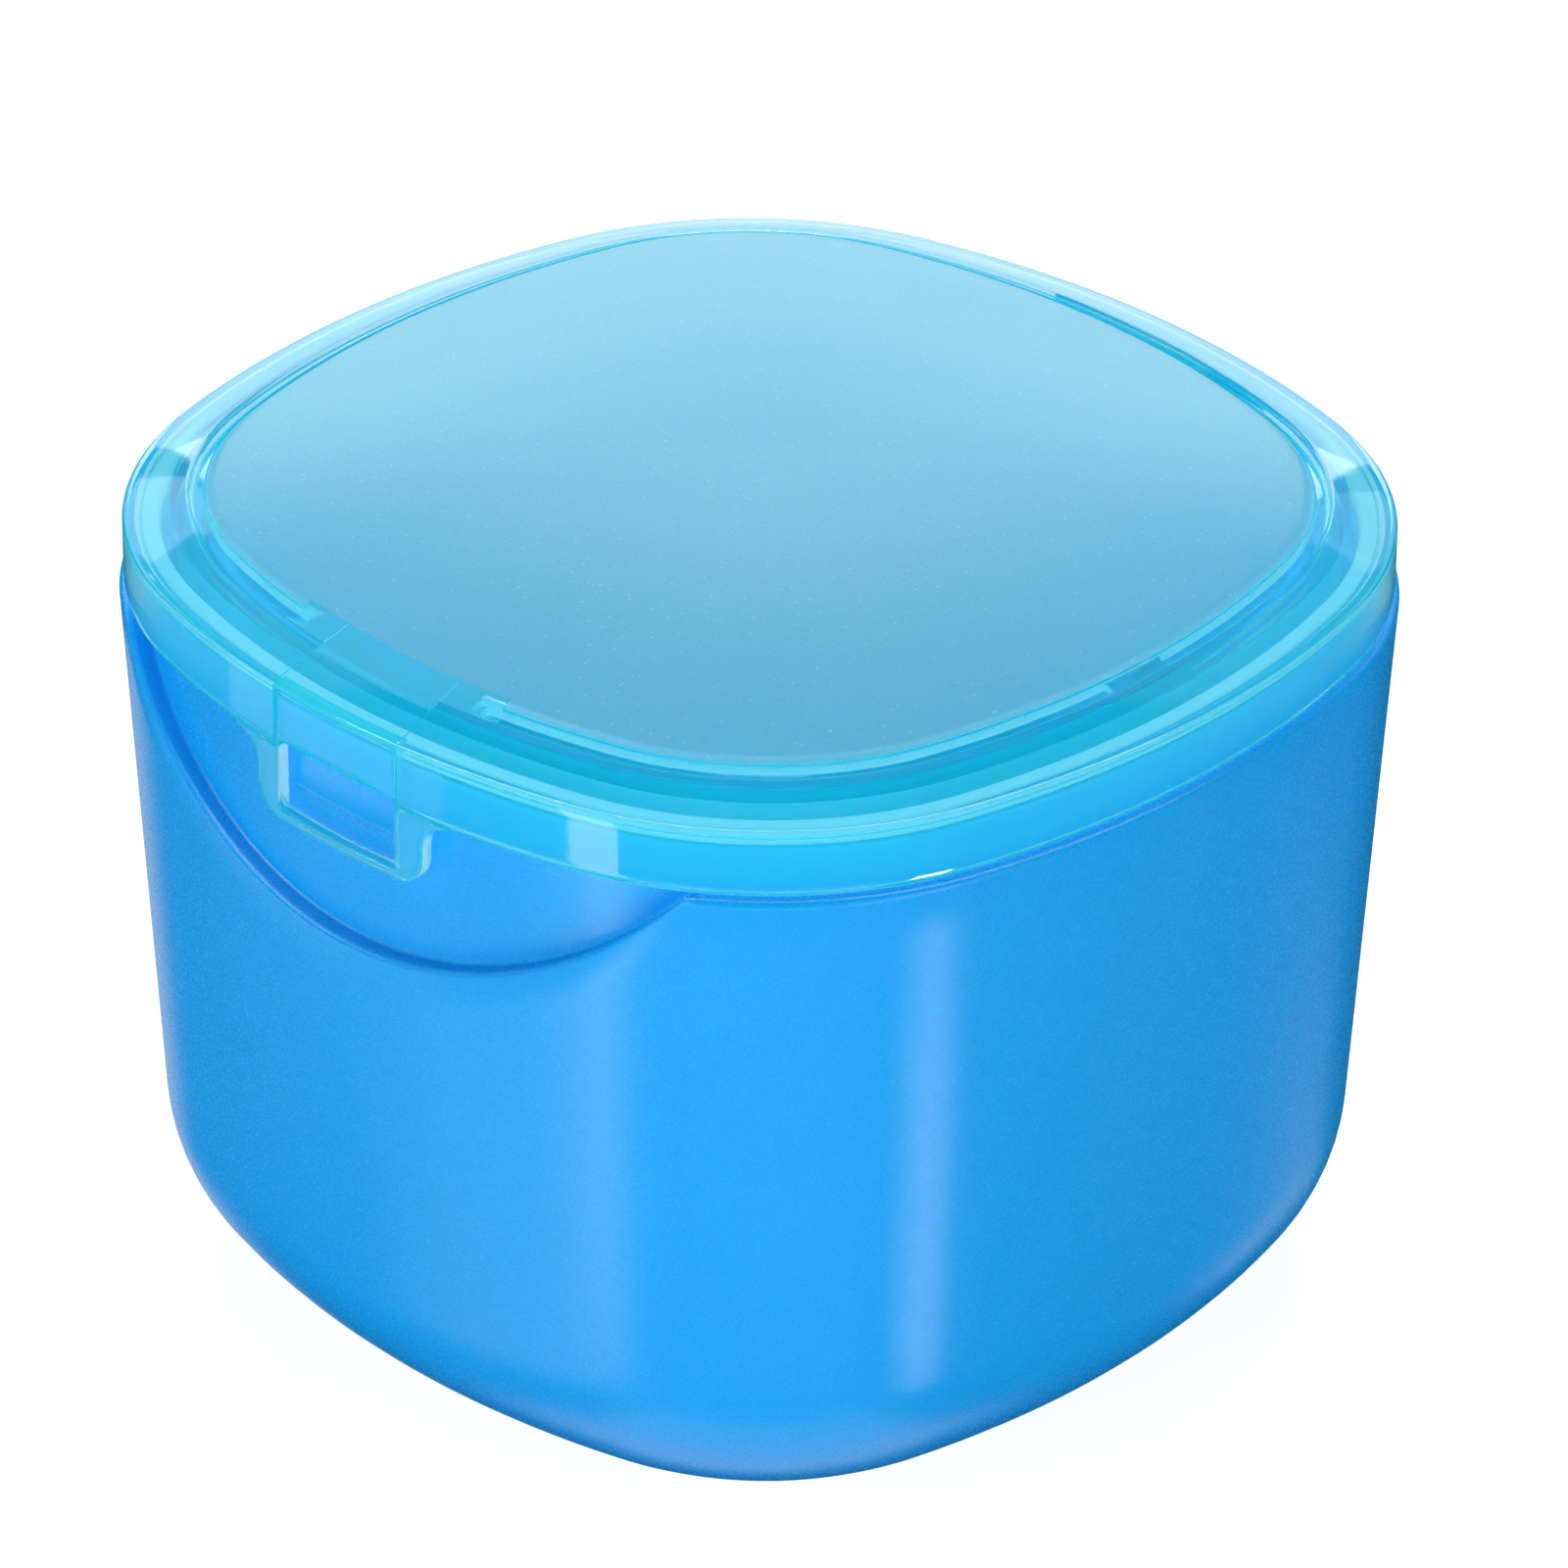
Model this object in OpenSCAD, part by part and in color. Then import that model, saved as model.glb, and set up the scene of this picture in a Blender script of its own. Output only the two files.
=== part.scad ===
// Denture case: a satin blue tub with a hinged clear lid, a snap latch in front
// and a strainer basket with a folding handle inside.
// Millimetres. Z is up, the origin is the middle of the base face,
// the latch is at the front (-Y) and the hinge is at the back (+Y).

/* [Case outline] */
// Width of the lid over its sides
case_w = 90; // [80:1:110]
// Depth of the lid, latch face to hinge face
case_d = 89; // [80:1:110]
// Radius of the four bowed sides, seen from above
side_r = 77.5; // [60:0.5:140]
// Radius of the four corners, seen from above
corner_r = 30; // [24:0.5:36]
// Height of the lid's outer top edge above the table
rim_z = 65; // [50:1:90]

/* [Tub] */
// How far the tub stands out beyond the lid
shoulder_proud = 0.4; // [0.2:0.1:1]
// Rounding of the shoulder under the lid
shoulder_r = 0.6; // [0.3:0.1:1]
// Lean of the tub's walls
tub_draft = 3.1; // [1:0.1:4]
// Radius of the rounding between walls and base
foot_r = 15.5; // [10:0.5:20]
// Thickness of the tub's lower wall and floor
tub_wall = 2; // [1.5:0.1:3]
// Thickness of the neck that the lid closes over
neck_wall = 1.6; // [1.2:0.1:2.2]
// Height of the neck above the shoulder
neck_h = 3.6; // [2.5:0.1:4]
// Radius of the arc that bounds the thumb scoop
scoop_r = 39; // [30:1:60]
// Depth of the thumb scoop below the shoulder
scoop_h = 13.7; // [8:0.1:20]

/* [Lid] */
// Height of the skirt
skirt_h = 5.4; // [4:0.1:8]
// Thickness of the skirt
skirt_t = 1.3; // [1:0.1:1.8]
// Thickness of the lid's top
top_t = 1.5; // [1:0.1:2.5]
// Rounding of the lid's outer top edge
edge_r = 0.5; // [0.3:0.1:1]
// Height of the lid's middle above its outer edge
crown_h = 5.6; // [2:0.2:8]
// Distance from the outer edge to the groove
groove_in = 4.9; // [3.5:0.1:7]
// Width of the groove round the frosted panel
groove_w = 1.5; // [1:0.1:2.5]
// Depth of the groove
groove_deep = 0.8; // [0.3:0.1:0.9]
// Half length of the stretch behind the latch that has no groove
groove_stop = 8.6; // [6.8:0.1:12]
// Thickness of the locating rib under the lid
plug_t = 1.2; // [0.8:0.1:1.6]
// Gap between the locating rib and the neck
plug_gap = 0.8; // [0.7:0.05:1]
// How far the locating rib reaches below the neck's top
plug_deep = 1.5; // [1:0.1:1.7]

/* [Seal] */
// Width of the silicone ring
seal_w = 1.4; // [1:0.1:1.8]
// Height of the silicone ring
seal_h = 0.7; // [0.5:0.05:0.75]

/* [Latch] */
// Width of the latch where it leaves the lid
latch_root_w = 12.9; // [11:0.1:15]
// Width of the latch below the skirt
latch_w = 17.6; // [16:0.1:20]
// Radius of the latch's lower corners and of the flare at its top
latch_corner = 2.6; // [1:0.1:2.8]
// How far the latch hangs below the skirt
latch_drop = 6.2; // [5.6:0.1:7]
// Thickness of the latch
latch_t = 1.1; // [0.8:0.1:1.2]
// Width of the latch's window
window_w = 12.2; // [8:0.1:13]
// Height of the bar under the window
bar_h = 0.8; // [0.7:0.1:2]
// How far the window reaches above the skirt's lower edge
window_rise = 0.6; // [0:0.1:1]
// How far the catch stands out of the tub
catch_out = 0.5; // [0.3:0.05:0.5]

/* [Hinge] */
// Diameter of the hinge pin
pin_d = 1.6; // [1.2:0.1:1.9]
// Outer radius of the hinge knuckles
knuckle_r = 1.8; // [1.7:0.1:2.2]
// Length of the lid's knuckle
knuckle_l = 14; // [12:0.5:20]
// Length of each of the tub's ears
ear_l = 3.5; // [3:0.5:5]
// Height of the hinge axis above the skirt's lower edge
hinge_rise = 0; // [0:0.1:1]
// Height of the web that carries the lid's knuckle
web_h = 1.6; // [1.2:0.1:1.8]

/* [Basket] */
// Thickness of the basket's wall
basket_wall = 1.2; // [1:0.1:1.8]
// How far the lugs that carry the basket stand out inside the tub
lug_deep = 2; // [1.6:0.1:2.4]
// Length of each lug
lug_l = 14; // [8:1:20]
// Gap between the basket's wall and the lugs
basket_gap = 0.35; // [0.3:0.05:0.6]
// Depth of the basket's rim flange below the lid's outer edge
flange_drop = 10; // [9.5:0.5:18]
// Thickness of the rim flange
flange_t = 1.2; // [1:0.1:1.4]
// Height of the basket's floor above the table
basket_z = 9; // [7:0.5:16]
// Rounding between the basket's wall and floor
basket_r = 8; // [5:0.5:10]
// Width of the drain slots
slot_w = 2.6; // [2:0.2:3.6]
// Spacing of the drain slots
slot_pitch = 7.4; // [6.5:0.1:9]
// Height of the drain slots in the basket's sides
side_slot_h = 22; // [12:1:26]
// Slots on either side of the middle of each of the basket's sides
side_slot_n = 3; // [1:1:3]
// Plain stretch left at the end of a row of slots
slot_edge = 2; // [1:0.5:4]

/* [Handle] */
// Width of the folding handle
handle_w = 3; // [2.4:0.1:4]
// Thickness of the folding handle
handle_t = 2; // [1.6:0.1:2.2]
// Diameter of the handle's pivots
pivot_d = 2; // [1.6:0.1:2.2]
// Wall of the ears round the pivots
pivot_wall = 0.6; // [0.5:0.1:0.8]
// Thickness of the ears that hold the pivots
pivot_ear_t = 1.6; // [1.2:0.1:2]

/* [Fits] */
// Gap between a lid part and the tub beside it
lid_gap = 0.3; // [0.3:0.05:0.4]
// Gap between the hinge's knuckles and the case behind them
hinge_gap = 0.36; // [0.3:0.02:0.5]
// Gap between parts that lie on one another
rest_gap = 0.2; // [0.15:0.05:0.3]
// Fine gap round the latch, the line that shows in the lid
seam = 0.14; // [0.12:0.01:0.2]
// Radial play of a pin in its bore
pin_play = 0.05; // [0.02:0.01:0.08]

/* [Hidden] */
$fn = 48;
blue = [0.1, 0.6, 0.9];
aqua = [0.3, 0.8, 0.93, 0.6];
milky = [0.93, 0.96, 0.97];

// Segments of the outline in half a side and in a corner
side_steps = 5;
corner_steps = 9;
quarter = 2 * side_steps + corner_steps;

// Lean of the surface that the lid closes over
neck_draft = 2;
// Powers and steps of the lid's crown
crown_power = 3;
crown_steps = 6;
crown_flat = 0.1;
// Steps in a rounding
round_steps = 6;
// Overlap of solids that are joined, and reach of cuts past a surface
joined = 0.5;
past = 5;
// Height of the catch's ridge as a share of the catch
catch_share = 0.35;
// The scoop's back lies this much inside the neck's surface, and the cut for it
// ends this far above the shoulder
scoop_sunk = 0.15;
scoop_rise = 1.1;
// How far each wall of the groove leans
groove_lean = 0.3;
// Inset of the seal beyond the neck's outer face
seal_edge = 0.1;
// Share of the outline at which a floor is closed flat
cap_share = 0.3;
// How much the rows of floor slots shorten towards the sides
row_round = 0.6;
// Height of the hinge ears' feet on the tub
ear_foot = 8;

half_w = case_w / 2;
half_d = case_d / 2;
skirt_z = rim_z - skirt_h;
shoulder_z = skirt_z - lid_gap;
neck_z = shoulder_z + neck_h;
neck_in = skirt_t + lid_gap;
cavity_in = neck_in + neck_wall;
plug_in = cavity_in + plug_gap;
plug_z = neck_z - plug_deep;

// Outline: the four sides are arcs about [side_x, 0] and [0, side_y], and each
// corner is an arc about [corner_x, corner_y] that touches both of its sides.
side_x = half_w - side_r;
side_y = half_d - side_r;
corner_m = side_x / side_y;
corner_c = (side_y * side_y - side_x * side_x) / (2 * side_y);
corner_a = 1 + corner_m * corner_m;
corner_b = 2 * corner_m * corner_c - 2 * side_x;
corner_k = side_x * side_x + corner_c * corner_c - pow(side_r - corner_r, 2);
corner_x = (sqrt(corner_b * corner_b - 4 * corner_a * corner_k) - corner_b) / (2 * corner_a);
corner_y = corner_m * corner_x + corner_c;
turn_x = atan2(corner_y, corner_x - side_x);
turn_y = atan2(corner_y - side_y, corner_x);

// A point on an arc about a middle
function on_arc(x, y, r, turn) = [x + r * cos(turn), y + r * sin(turn)];

// Point r of the first quarter of the outline, moved in by an inset
function first(r, inset) =
    r <= side_steps
        ? on_arc(side_x, 0, side_r - inset, turn_x * r / side_steps)
    : r <= side_steps + corner_steps
        ? on_arc(corner_x, corner_y, corner_r - inset,
                 turn_x + (turn_y - turn_x) * (r - side_steps) / corner_steps)
        : on_arc(0, side_y, side_r - inset,
                 turn_y + (90 - turn_y) * (r - side_steps - corner_steps) / side_steps);

// Point j of the whole outline, by mirroring the first quarter
function around(j, inset) =
    let (
        q = floor(j / quarter),
        r = j - q * quarter,
        p = first(q % 2 == 0 ? r : quarter - r, inset)
    )
    [(q == 0 || q == 3) ? p[0] : -p[0], q < 2 ? p[1] : -p[1]];

// The outline at an inset, scaled about the middle, as points at a height.
// A level is [inset, height] or [inset, height, scale].
function ring(level) =
    let (s = len(level) > 2 ? level[2] : 1)
    [for (j = [0 : 4 * quarter - 1]) let (p = around(j, level[0])) [p[0] * s, p[1] * s, level[1]]];

// A solid whose skin runs through the levels in turn, closed flat at both ends
module loft(levels) {
    n = 4 * quarter;
    last = len(levels) - 1;
    points = [for (level = levels) each ring(level)];
    skin = [for (i = [0 : last - 1]) for (j = [0 : n - 1])
        [i * n + j, (i + 1) * n + j, (i + 1) * n + (j + 1) % n, i * n + (j + 1) % n]];
    start = [for (j = [0 : n - 1]) j];
    end = [for (j = [n - 1 : -1 : 0]) last * n + j];
    polyhedron(points = points, faces = concat(skin, [start, end]));
}

// A closed band whose section runs through the levels and back to the first
module band(levels) {
    n = 4 * quarter;
    count = len(levels);
    points = [for (level = levels) each ring(level)];
    skin = [for (i = [0 : count - 1]) for (j = [0 : n - 1])
        let (k = (i + 1) % count)
        [i * n + j, k * n + j, k * n + (j + 1) % n, i * n + (j + 1) % n]];
    polyhedron(points = points, faces = skin);
}

// A rod along X, centred on x = 0 at a depth and a height
module rod(r, length, y, z) {
    translate([-length / 2, y, z])
        rotate([0, 90, 0])
            cylinder(r = r, h = length);
}

// Inset of the tub's outer skin at a height
function tub_in(z) = (shoulder_z - z) * tan(tub_draft) - shoulder_proud;
// Inset of the surface under the lid at a height
function neck_at(z) = neck_in + (shoulder_z - min(z, shoulder_z)) * tan(neck_draft);
// Inset of the cavity's wall at a height: straight from the mouth to the rounding
function cavity_at(z) =
    cavity_in + (cavity_foot_in - cavity_in) * (neck_z - z) / (neck_z - foot_r);
// Height of the lid's top surface at an inset from its outer edge
function crown_z(inset) =
    rim_z + crown_h * (1 - pow(1 - max(inset - edge_r, 0) / (half_w - edge_r), crown_power));

// Levels of a rounding from a wall down to a floor
function foot_levels(wall_in, floor_z, r) =
    [for (i = [0 : round_steps]) let (t = 90 * i / round_steps)
        [wall_in + r * (1 - cos(t)), floor_z + r * (1 - sin(t))]];

// The same levels from the floor up
function upward(levels) = [for (i = [len(levels) - 1 : -1 : 0]) levels[i]];

// The cavity's rounding lies inside the tub's
cavity_foot_r = foot_r - tub_wall;
cavity_foot_in = tub_in(foot_r) + tub_wall;

// Height of the scoop's arc above the table, and the middle of the arc
scoop_z = shoulder_z - scoop_h;
scoop_mid_z = scoop_z + scoop_r;

// Latch: its face follows the skirt, so it is cut from bands like the skirt's
latch_z = skirt_z - latch_drop;
window_z = latch_z + bar_h;
window_top = skirt_z + window_rise;
latch_top = rim_z - edge_r;

// Catch: a wedge that fills the upper part of the window
catch_w = window_w - 2 * lid_gap;
catch_top = window_top - lid_gap;
catch_foot = window_z + lid_gap;
catch_ridge = catch_foot + (catch_top - catch_foot) * catch_share;

// Hinge axis, behind the lid's lower edge
hinge_y = half_d + shoulder_proud + knuckle_r + hinge_gap;
hinge_z = skirt_z + hinge_rise;
ear_x = knuckle_l / 2 + lid_gap;
pin_l = knuckle_l + 2 * (lid_gap + ear_l);

// Basket: its wall clears the lugs, and its flange lies on them
flange_z = rim_z - flange_drop;
lug_top = flange_z - rest_gap;
lug_in = cavity_at(lug_top) + lug_deep;
basket_in = lug_in + basket_gap;
basket_draft = 1;
flange_top = flange_z + flange_t;
flange_in = cavity_in + 2 * rest_gap;
basket_foot_in = basket_in + (flange_z - basket_z - basket_r) * tan(basket_draft);

// Handle: a half hoop that lies folded over the front of the rim
pivot_r = pivot_d / 2 + pivot_wall;
pivot_z = flange_top + pivot_r + rest_gap;
ear_outer_x = half_w - flange_in;
ear_inner_x = ear_outer_x - pivot_ear_t;
handle_x = ear_inner_x - rest_gap;
handle_z = pivot_z - handle_t / 2;

// One of the tub's two hinge ears, rising from the shoulder to the pin
module hinge_ear(x) {
    wall_y = half_d + shoulder_proud;
    translate([x, 0, 0])
        rotate([90, 0, 90])
            linear_extrude(ear_l)
                union() {
                    translate([hinge_y, hinge_z])
                        circle(r = knuckle_r);
                    polygon([
                        [wall_y - tub_wall, shoulder_z - ear_foot],
                        [wall_y - tan(tub_draft) * ear_foot, shoulder_z - ear_foot],
                        [hinge_y + knuckle_r, hinge_z],
                        [hinge_y - knuckle_r, hinge_z],
                        [wall_y - shoulder_r, shoulder_z - joined],
                        [wall_y - tub_wall, shoulder_z - joined]
                    ]);
                }
}

// One of the four lugs inside the tub that carry the basket, turned to its side
module lug(turn, reach) {
    rotate([0, 0, turn])
        translate([-lug_l / 2, 0, 0])
            rotate([90, 0, 90])
                linear_extrude(lug_l)
                    polygon([
                        [reach - lug_in, lug_top],
                        [reach - lug_in, foot_r + joined],
                        [reach - cavity_foot_in + joined, foot_r + joined],
                        [reach - cavity_at(lug_top) + joined, lug_top]
                    ]);
}

module tub_shell() {
    loft(concat(
        [[tub_in(foot_r) + foot_r, 0, cap_share]],
        upward(foot_levels(tub_in(foot_r), 0, foot_r)),
        [[tub_in(shoulder_z - shoulder_r), shoulder_z - shoulder_r],
         [shoulder_r * (1 - cos(45)) - shoulder_proud, shoulder_z - shoulder_r * (1 - sin(45))],
         [shoulder_r - shoulder_proud, shoulder_z]],
        [[neck_in, shoulder_z], [neck_in, neck_z]],
        [[cavity_in, neck_z]],
        foot_levels(cavity_foot_in, tub_wall, cavity_foot_r),
        [[cavity_foot_in + cavity_foot_r, tub_wall, cap_share]]
    ));
}

// The cut for the scoop: the cylinder's outside, down to a little below the neck's
// surface, and up to just above the shoulder
module scoop() {
    top = shoulder_z + scoop_rise;
    difference() {
        intersection() {
            translate([0, -half_d / 2, scoop_mid_z])
                rotate([90, 0, 0])
                    cylinder(r = scoop_r, h = half_d, $fn = 96);
            translate([-half_w, -case_d, scoop_z - past])
                cube([case_w, case_d, top - scoop_z + past]);
        }
        loft([[neck_at(scoop_z - past) + scoop_sunk, scoop_z - past],
              [neck_at(shoulder_z) + scoop_sunk, shoulder_z],
              [neck_at(shoulder_z) + scoop_sunk, top + past]]);
    }
}

// The catch in the window: a ramp out to a ridge, and an undercut below it
module catch_wedge() {
    edge_in = neck_in - scoop_sunk;
    back_in = neck_in + neck_wall / 2;
    intersection() {
        band([
            [edge_in, catch_foot],
            [neck_in - catch_out, catch_ridge],
            [edge_in, catch_top],
            [back_in, catch_top],
            [back_in, catch_foot]
        ]);
        translate([-catch_w / 2, -case_d, catch_foot - past])
            cube([catch_w, case_d, catch_top - catch_foot + 2 * past]);
    }
}

module case_body() {
    color(blue)
        difference() {
            union() {
                difference() {
                    tub_shell();
                    scoop();
                }
                catch_wedge();
                for (turn = [0, 180])
                    lug(turn, half_d);
                for (turn = [90, 270])
                    lug(turn, half_w);
                hinge_ear(ear_x);
                hinge_ear(-ear_x - ear_l);
            }
            rod(pin_d / 2 + pin_play, pin_l + 2 * past, hinge_y, hinge_z);
        }
}

// The lid as one shell: under its crown, down inside the skirt, up outside it
module lid_shell() {
    scales = [for (i = [0 : crown_steps]) 1 - (1 - crown_flat) * i / crown_steps];
    rim_in = groove_in - groove_w;
    panel_in = groove_in + 2 * groove_w;
    loft(concat(
        [for (i = [crown_steps : -1 : 0]) let (s = scales[i])
            [panel_in, crown_z(half_w - s * (half_w - panel_in)) - top_t, s]],
        [[rim_in, crown_z(rim_in) - top_t],
         [skirt_t, crown_z(skirt_t) - top_t],
         [skirt_t, skirt_z],
         [0, skirt_z],
         [0, rim_z - edge_r],
         [edge_r * (1 - cos(45)), rim_z - edge_r * (1 - sin(45))],
         [edge_r, rim_z],
         [rim_in, crown_z(rim_in)]],
        [for (i = [0 : crown_steps]) let (s = scales[i])
            [panel_in, crown_z(half_w - s * (half_w - panel_in)), s]]
    ));
}

// The groove round the frosted panel, which stops on either side of the latch
module groove() {
    outer_z = crown_z(groove_in);
    inner_z = crown_z(groove_in + groove_w);
    difference() {
        band([
            [groove_in, outer_z],
            [groove_in, outer_z + past],
            [groove_in + groove_w, outer_z + past],
            [groove_in + groove_w, inner_z],
            [groove_in + groove_w - groove_lean, inner_z - groove_deep],
            [groove_in + groove_lean, outer_z - groove_deep]
        ]);
        translate([-groove_stop, -half_d, rim_z - past])
            cube([2 * groove_stop, half_d / 2, 3 * past]);
    }
}

// Front outline of the latch, from below the skirt to its root, in X and Z
module latch_outline() {
    w = latch_w / 2;
    r = latch_corner;
    top = skirt_z - seam;
    difference() {
        union() {
            translate([-latch_root_w / 2, latch_z])
                square([latch_root_w, latch_top - latch_z]);
            translate([-w, latch_z + r])
                square([2 * w, top - latch_z - r]);
            translate([r - w, latch_z])
                square([2 * (w - r), top - latch_z]);
            for (side = [-1, 1])
                translate([side * (w - r), latch_z + r])
                    circle(r = r);
            translate([-w - r, top - r])
                square([2 * (w + r), r]);
        }
        for (side = [-1, 1])
            translate([side * (w + r), top - r])
                circle(r = r);
        translate([-window_w / 2, window_z])
            square([window_w, window_top - window_z]);
    }
}

// A prism through the front of the case with the latch's outline
module latch_prism() {
    translate([0, -half_d / 2, 0])
        rotate([90, 0, 0])
            linear_extrude(half_d)
                latch_outline();
}

module lid() {
    color(aqua)
        difference() {
            union() {
                difference() {
                    lid_shell();
                    groove();
                    translate([-latch_root_w / 2 - seam, -half_d - past, skirt_z - past])
                        cube([latch_root_w + 2 * seam, past + neck_in + joined,
                              latch_top + seam - skirt_z + past]);
                }
                band([
                    [plug_in, plug_z],
                    [plug_in, crown_z(plug_in) - top_t + joined],
                    [plug_in + plug_t, crown_z(plug_in) - top_t + joined],
                    [plug_in + plug_t, plug_z]
                ]);
                rod(knuckle_r, knuckle_l, hinge_y, hinge_z);
                translate([-knuckle_l / 2, half_d - skirt_t / 2, hinge_z])
                    cube([knuckle_l, hinge_y - half_d, web_h]);
            }
            rod(pin_d / 2 + pin_play, knuckle_l + 2 * past, hinge_y, hinge_z);
        }
}

module latch_tab() {
    color(aqua)
        intersection() {
            band([
                [0, latch_z - past],
                [0, latch_top],
                [latch_t, latch_top],
                [latch_t, latch_z - past]
            ]);
            latch_prism();
        }
}

module lid_seal() {
    outer_in = neck_in + seal_edge;
    low_z = neck_z + rest_gap;
    color(milky)
        band([
            [outer_in, low_z],
            [outer_in, low_z + seal_h],
            [outer_in + seal_w, low_z + seal_h],
            [outer_in + seal_w, low_z]
        ]);
}

module hinge_pin() {
    color("silver")
        rod(pin_d / 2, pin_l, hinge_y, hinge_z);
}

// The basket's tub with its rim flange
module basket_shell() {
    floor_in = basket_foot_in + basket_r;
    inner_r = basket_r - basket_wall;
    loft(concat(
        [[floor_in, basket_z, cap_share]],
        upward(foot_levels(basket_foot_in, basket_z, basket_r)),
        [[basket_in, flange_z],
         [flange_in, flange_z],
         [flange_in, flange_top],
         [basket_in + basket_wall, flange_top]],
        foot_levels(basket_foot_in + basket_wall, basket_z + basket_wall, inner_r),
        [[floor_in, basket_z + basket_wall, cap_share]]
    ));
}

// A slot with round ends, along Y
module slot_outline(w, length) {
    square([w, length - w], center = true);
    for (side = [-1, 1])
        translate([0, side * (length - w) / 2])
            circle(d = w);
}

// Slots in the basket's floor, in rows that shorten towards the sides
module floor_slots() {
    reach = half_w - basket_foot_in - basket_r;
    rows = floor(reach / slot_pitch);
    for (i = [-rows : rows]) {
        row_half = sqrt(reach * reach - pow(i * slot_pitch, 2) * row_round) / 2;
        for (side = [-1, 1])
            translate([i * slot_pitch, side * row_half, basket_z - past])
                linear_extrude(2 * past)
                    slot_outline(slot_w, 2 * (row_half - slot_edge));
    }
}

// Slots in the basket's sides, either side of the middle of each one
module side_slots() {
    middle_z = basket_z + basket_r + slot_edge + side_slot_h / 2;
    for (turn = [0 : 90 : 270])
        for (i = [-side_slot_n : side_slot_n])
            if (i != 0)
                rotate([0, 0, turn])
                    translate([i * slot_pitch, half_w, middle_z])
                        rotate([90, 0, 0])
                            linear_extrude(half_w / 2)
                                slot_outline(slot_w, side_slot_h);
}

module strainer_basket() {
    color(blue)
        difference() {
            union() {
                difference() {
                    basket_shell();
                    floor_slots();
                    side_slots();
                }
                pivot_ear(ear_inner_x);
                pivot_ear(-ear_outer_x);
            }
            rod(pivot_d / 2 + pin_play, case_w, 0, pivot_z);
        }
}

// An ear on the basket's flange, from an x towards the right
module pivot_ear(x) {
    translate([x, 0, 0])
        rotate([90, 0, 90])
            linear_extrude(pivot_ear_t)
                union() {
                    translate([0, pivot_z])
                        circle(r = pivot_r);
                    translate([-pivot_r, flange_top - flange_t / 2])
                        square([2 * pivot_r, pivot_z - flange_top + flange_t / 2]);
                }
}

module basket_handle() {
    hoop_in = half_w - handle_x;
    color(blue)
        union() {
            intersection() {
                band([
                    [hoop_in, handle_z],
                    [hoop_in, handle_z + handle_t],
                    [hoop_in + handle_w, handle_z + handle_t],
                    [hoop_in + handle_w, handle_z]
                ]);
                translate([-half_w, -case_d, handle_z - past])
                    cube([case_w, case_d, handle_t + 2 * past]);
            }
            for (side = [-1, 1])
                translate([side * (handle_x - handle_w / 2), 0, 0])
                    rod(pivot_r - rest_gap / 2, handle_w, 0, pivot_z);
            for (side = [-1, 1])
                translate([side * (ear_outer_x - (pivot_ear_t + handle_w) / 2), 0, 0])
                    rod(pivot_d / 2, pivot_ear_t + handle_w, 0, pivot_z);
        }
}

case_body();
lid();
latch_tab();
lid_seal();
hinge_pin();
strainer_basket();
basket_handle();
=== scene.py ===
"""Looks of a denture case: a satin blue tub, a clear aqua lid with a frosted panel,
a snap latch in front, and a strainer basket with a folding handle inside.

Every size is in millimetres until a mesh is made, and every mesh lies in the frame of
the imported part: Z up, the latch at the front (-Y), the hinge at the back (+Y).
"""

import logging
import math
from dataclasses import dataclass, field
from enum import Enum
from typing import Any, Optional

import bmesh
import bpy
import numpy as np
from bpy.types import Material, Mesh, Node, NodeSocket, NodeTree, Object
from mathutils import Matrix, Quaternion, Vector


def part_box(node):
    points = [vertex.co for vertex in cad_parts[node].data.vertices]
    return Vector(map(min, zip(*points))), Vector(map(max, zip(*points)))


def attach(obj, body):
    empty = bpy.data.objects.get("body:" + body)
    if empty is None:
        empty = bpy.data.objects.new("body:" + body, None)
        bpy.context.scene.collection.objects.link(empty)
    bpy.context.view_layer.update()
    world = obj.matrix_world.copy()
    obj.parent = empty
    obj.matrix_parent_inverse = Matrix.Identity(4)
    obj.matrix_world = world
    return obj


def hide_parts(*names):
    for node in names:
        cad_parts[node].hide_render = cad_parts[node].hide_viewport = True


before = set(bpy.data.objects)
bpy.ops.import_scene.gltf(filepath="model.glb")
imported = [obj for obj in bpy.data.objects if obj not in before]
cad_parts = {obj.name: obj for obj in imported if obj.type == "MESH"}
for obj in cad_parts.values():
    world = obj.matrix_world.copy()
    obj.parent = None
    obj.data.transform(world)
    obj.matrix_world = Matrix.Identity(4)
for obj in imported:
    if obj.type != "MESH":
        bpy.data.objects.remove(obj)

Array = np.ndarray
MM = 0.001
COLUMNS = 240  # even columns round a piece that follows the plan
ROUND_STEPS = 4  # steps in the rounding of a small edge
WHITE = (1.0, 1.0, 1.0, 1.0)
LOG = logging.getLogger("denture_case")


# Sizes of the case that more than one piece shares


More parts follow.
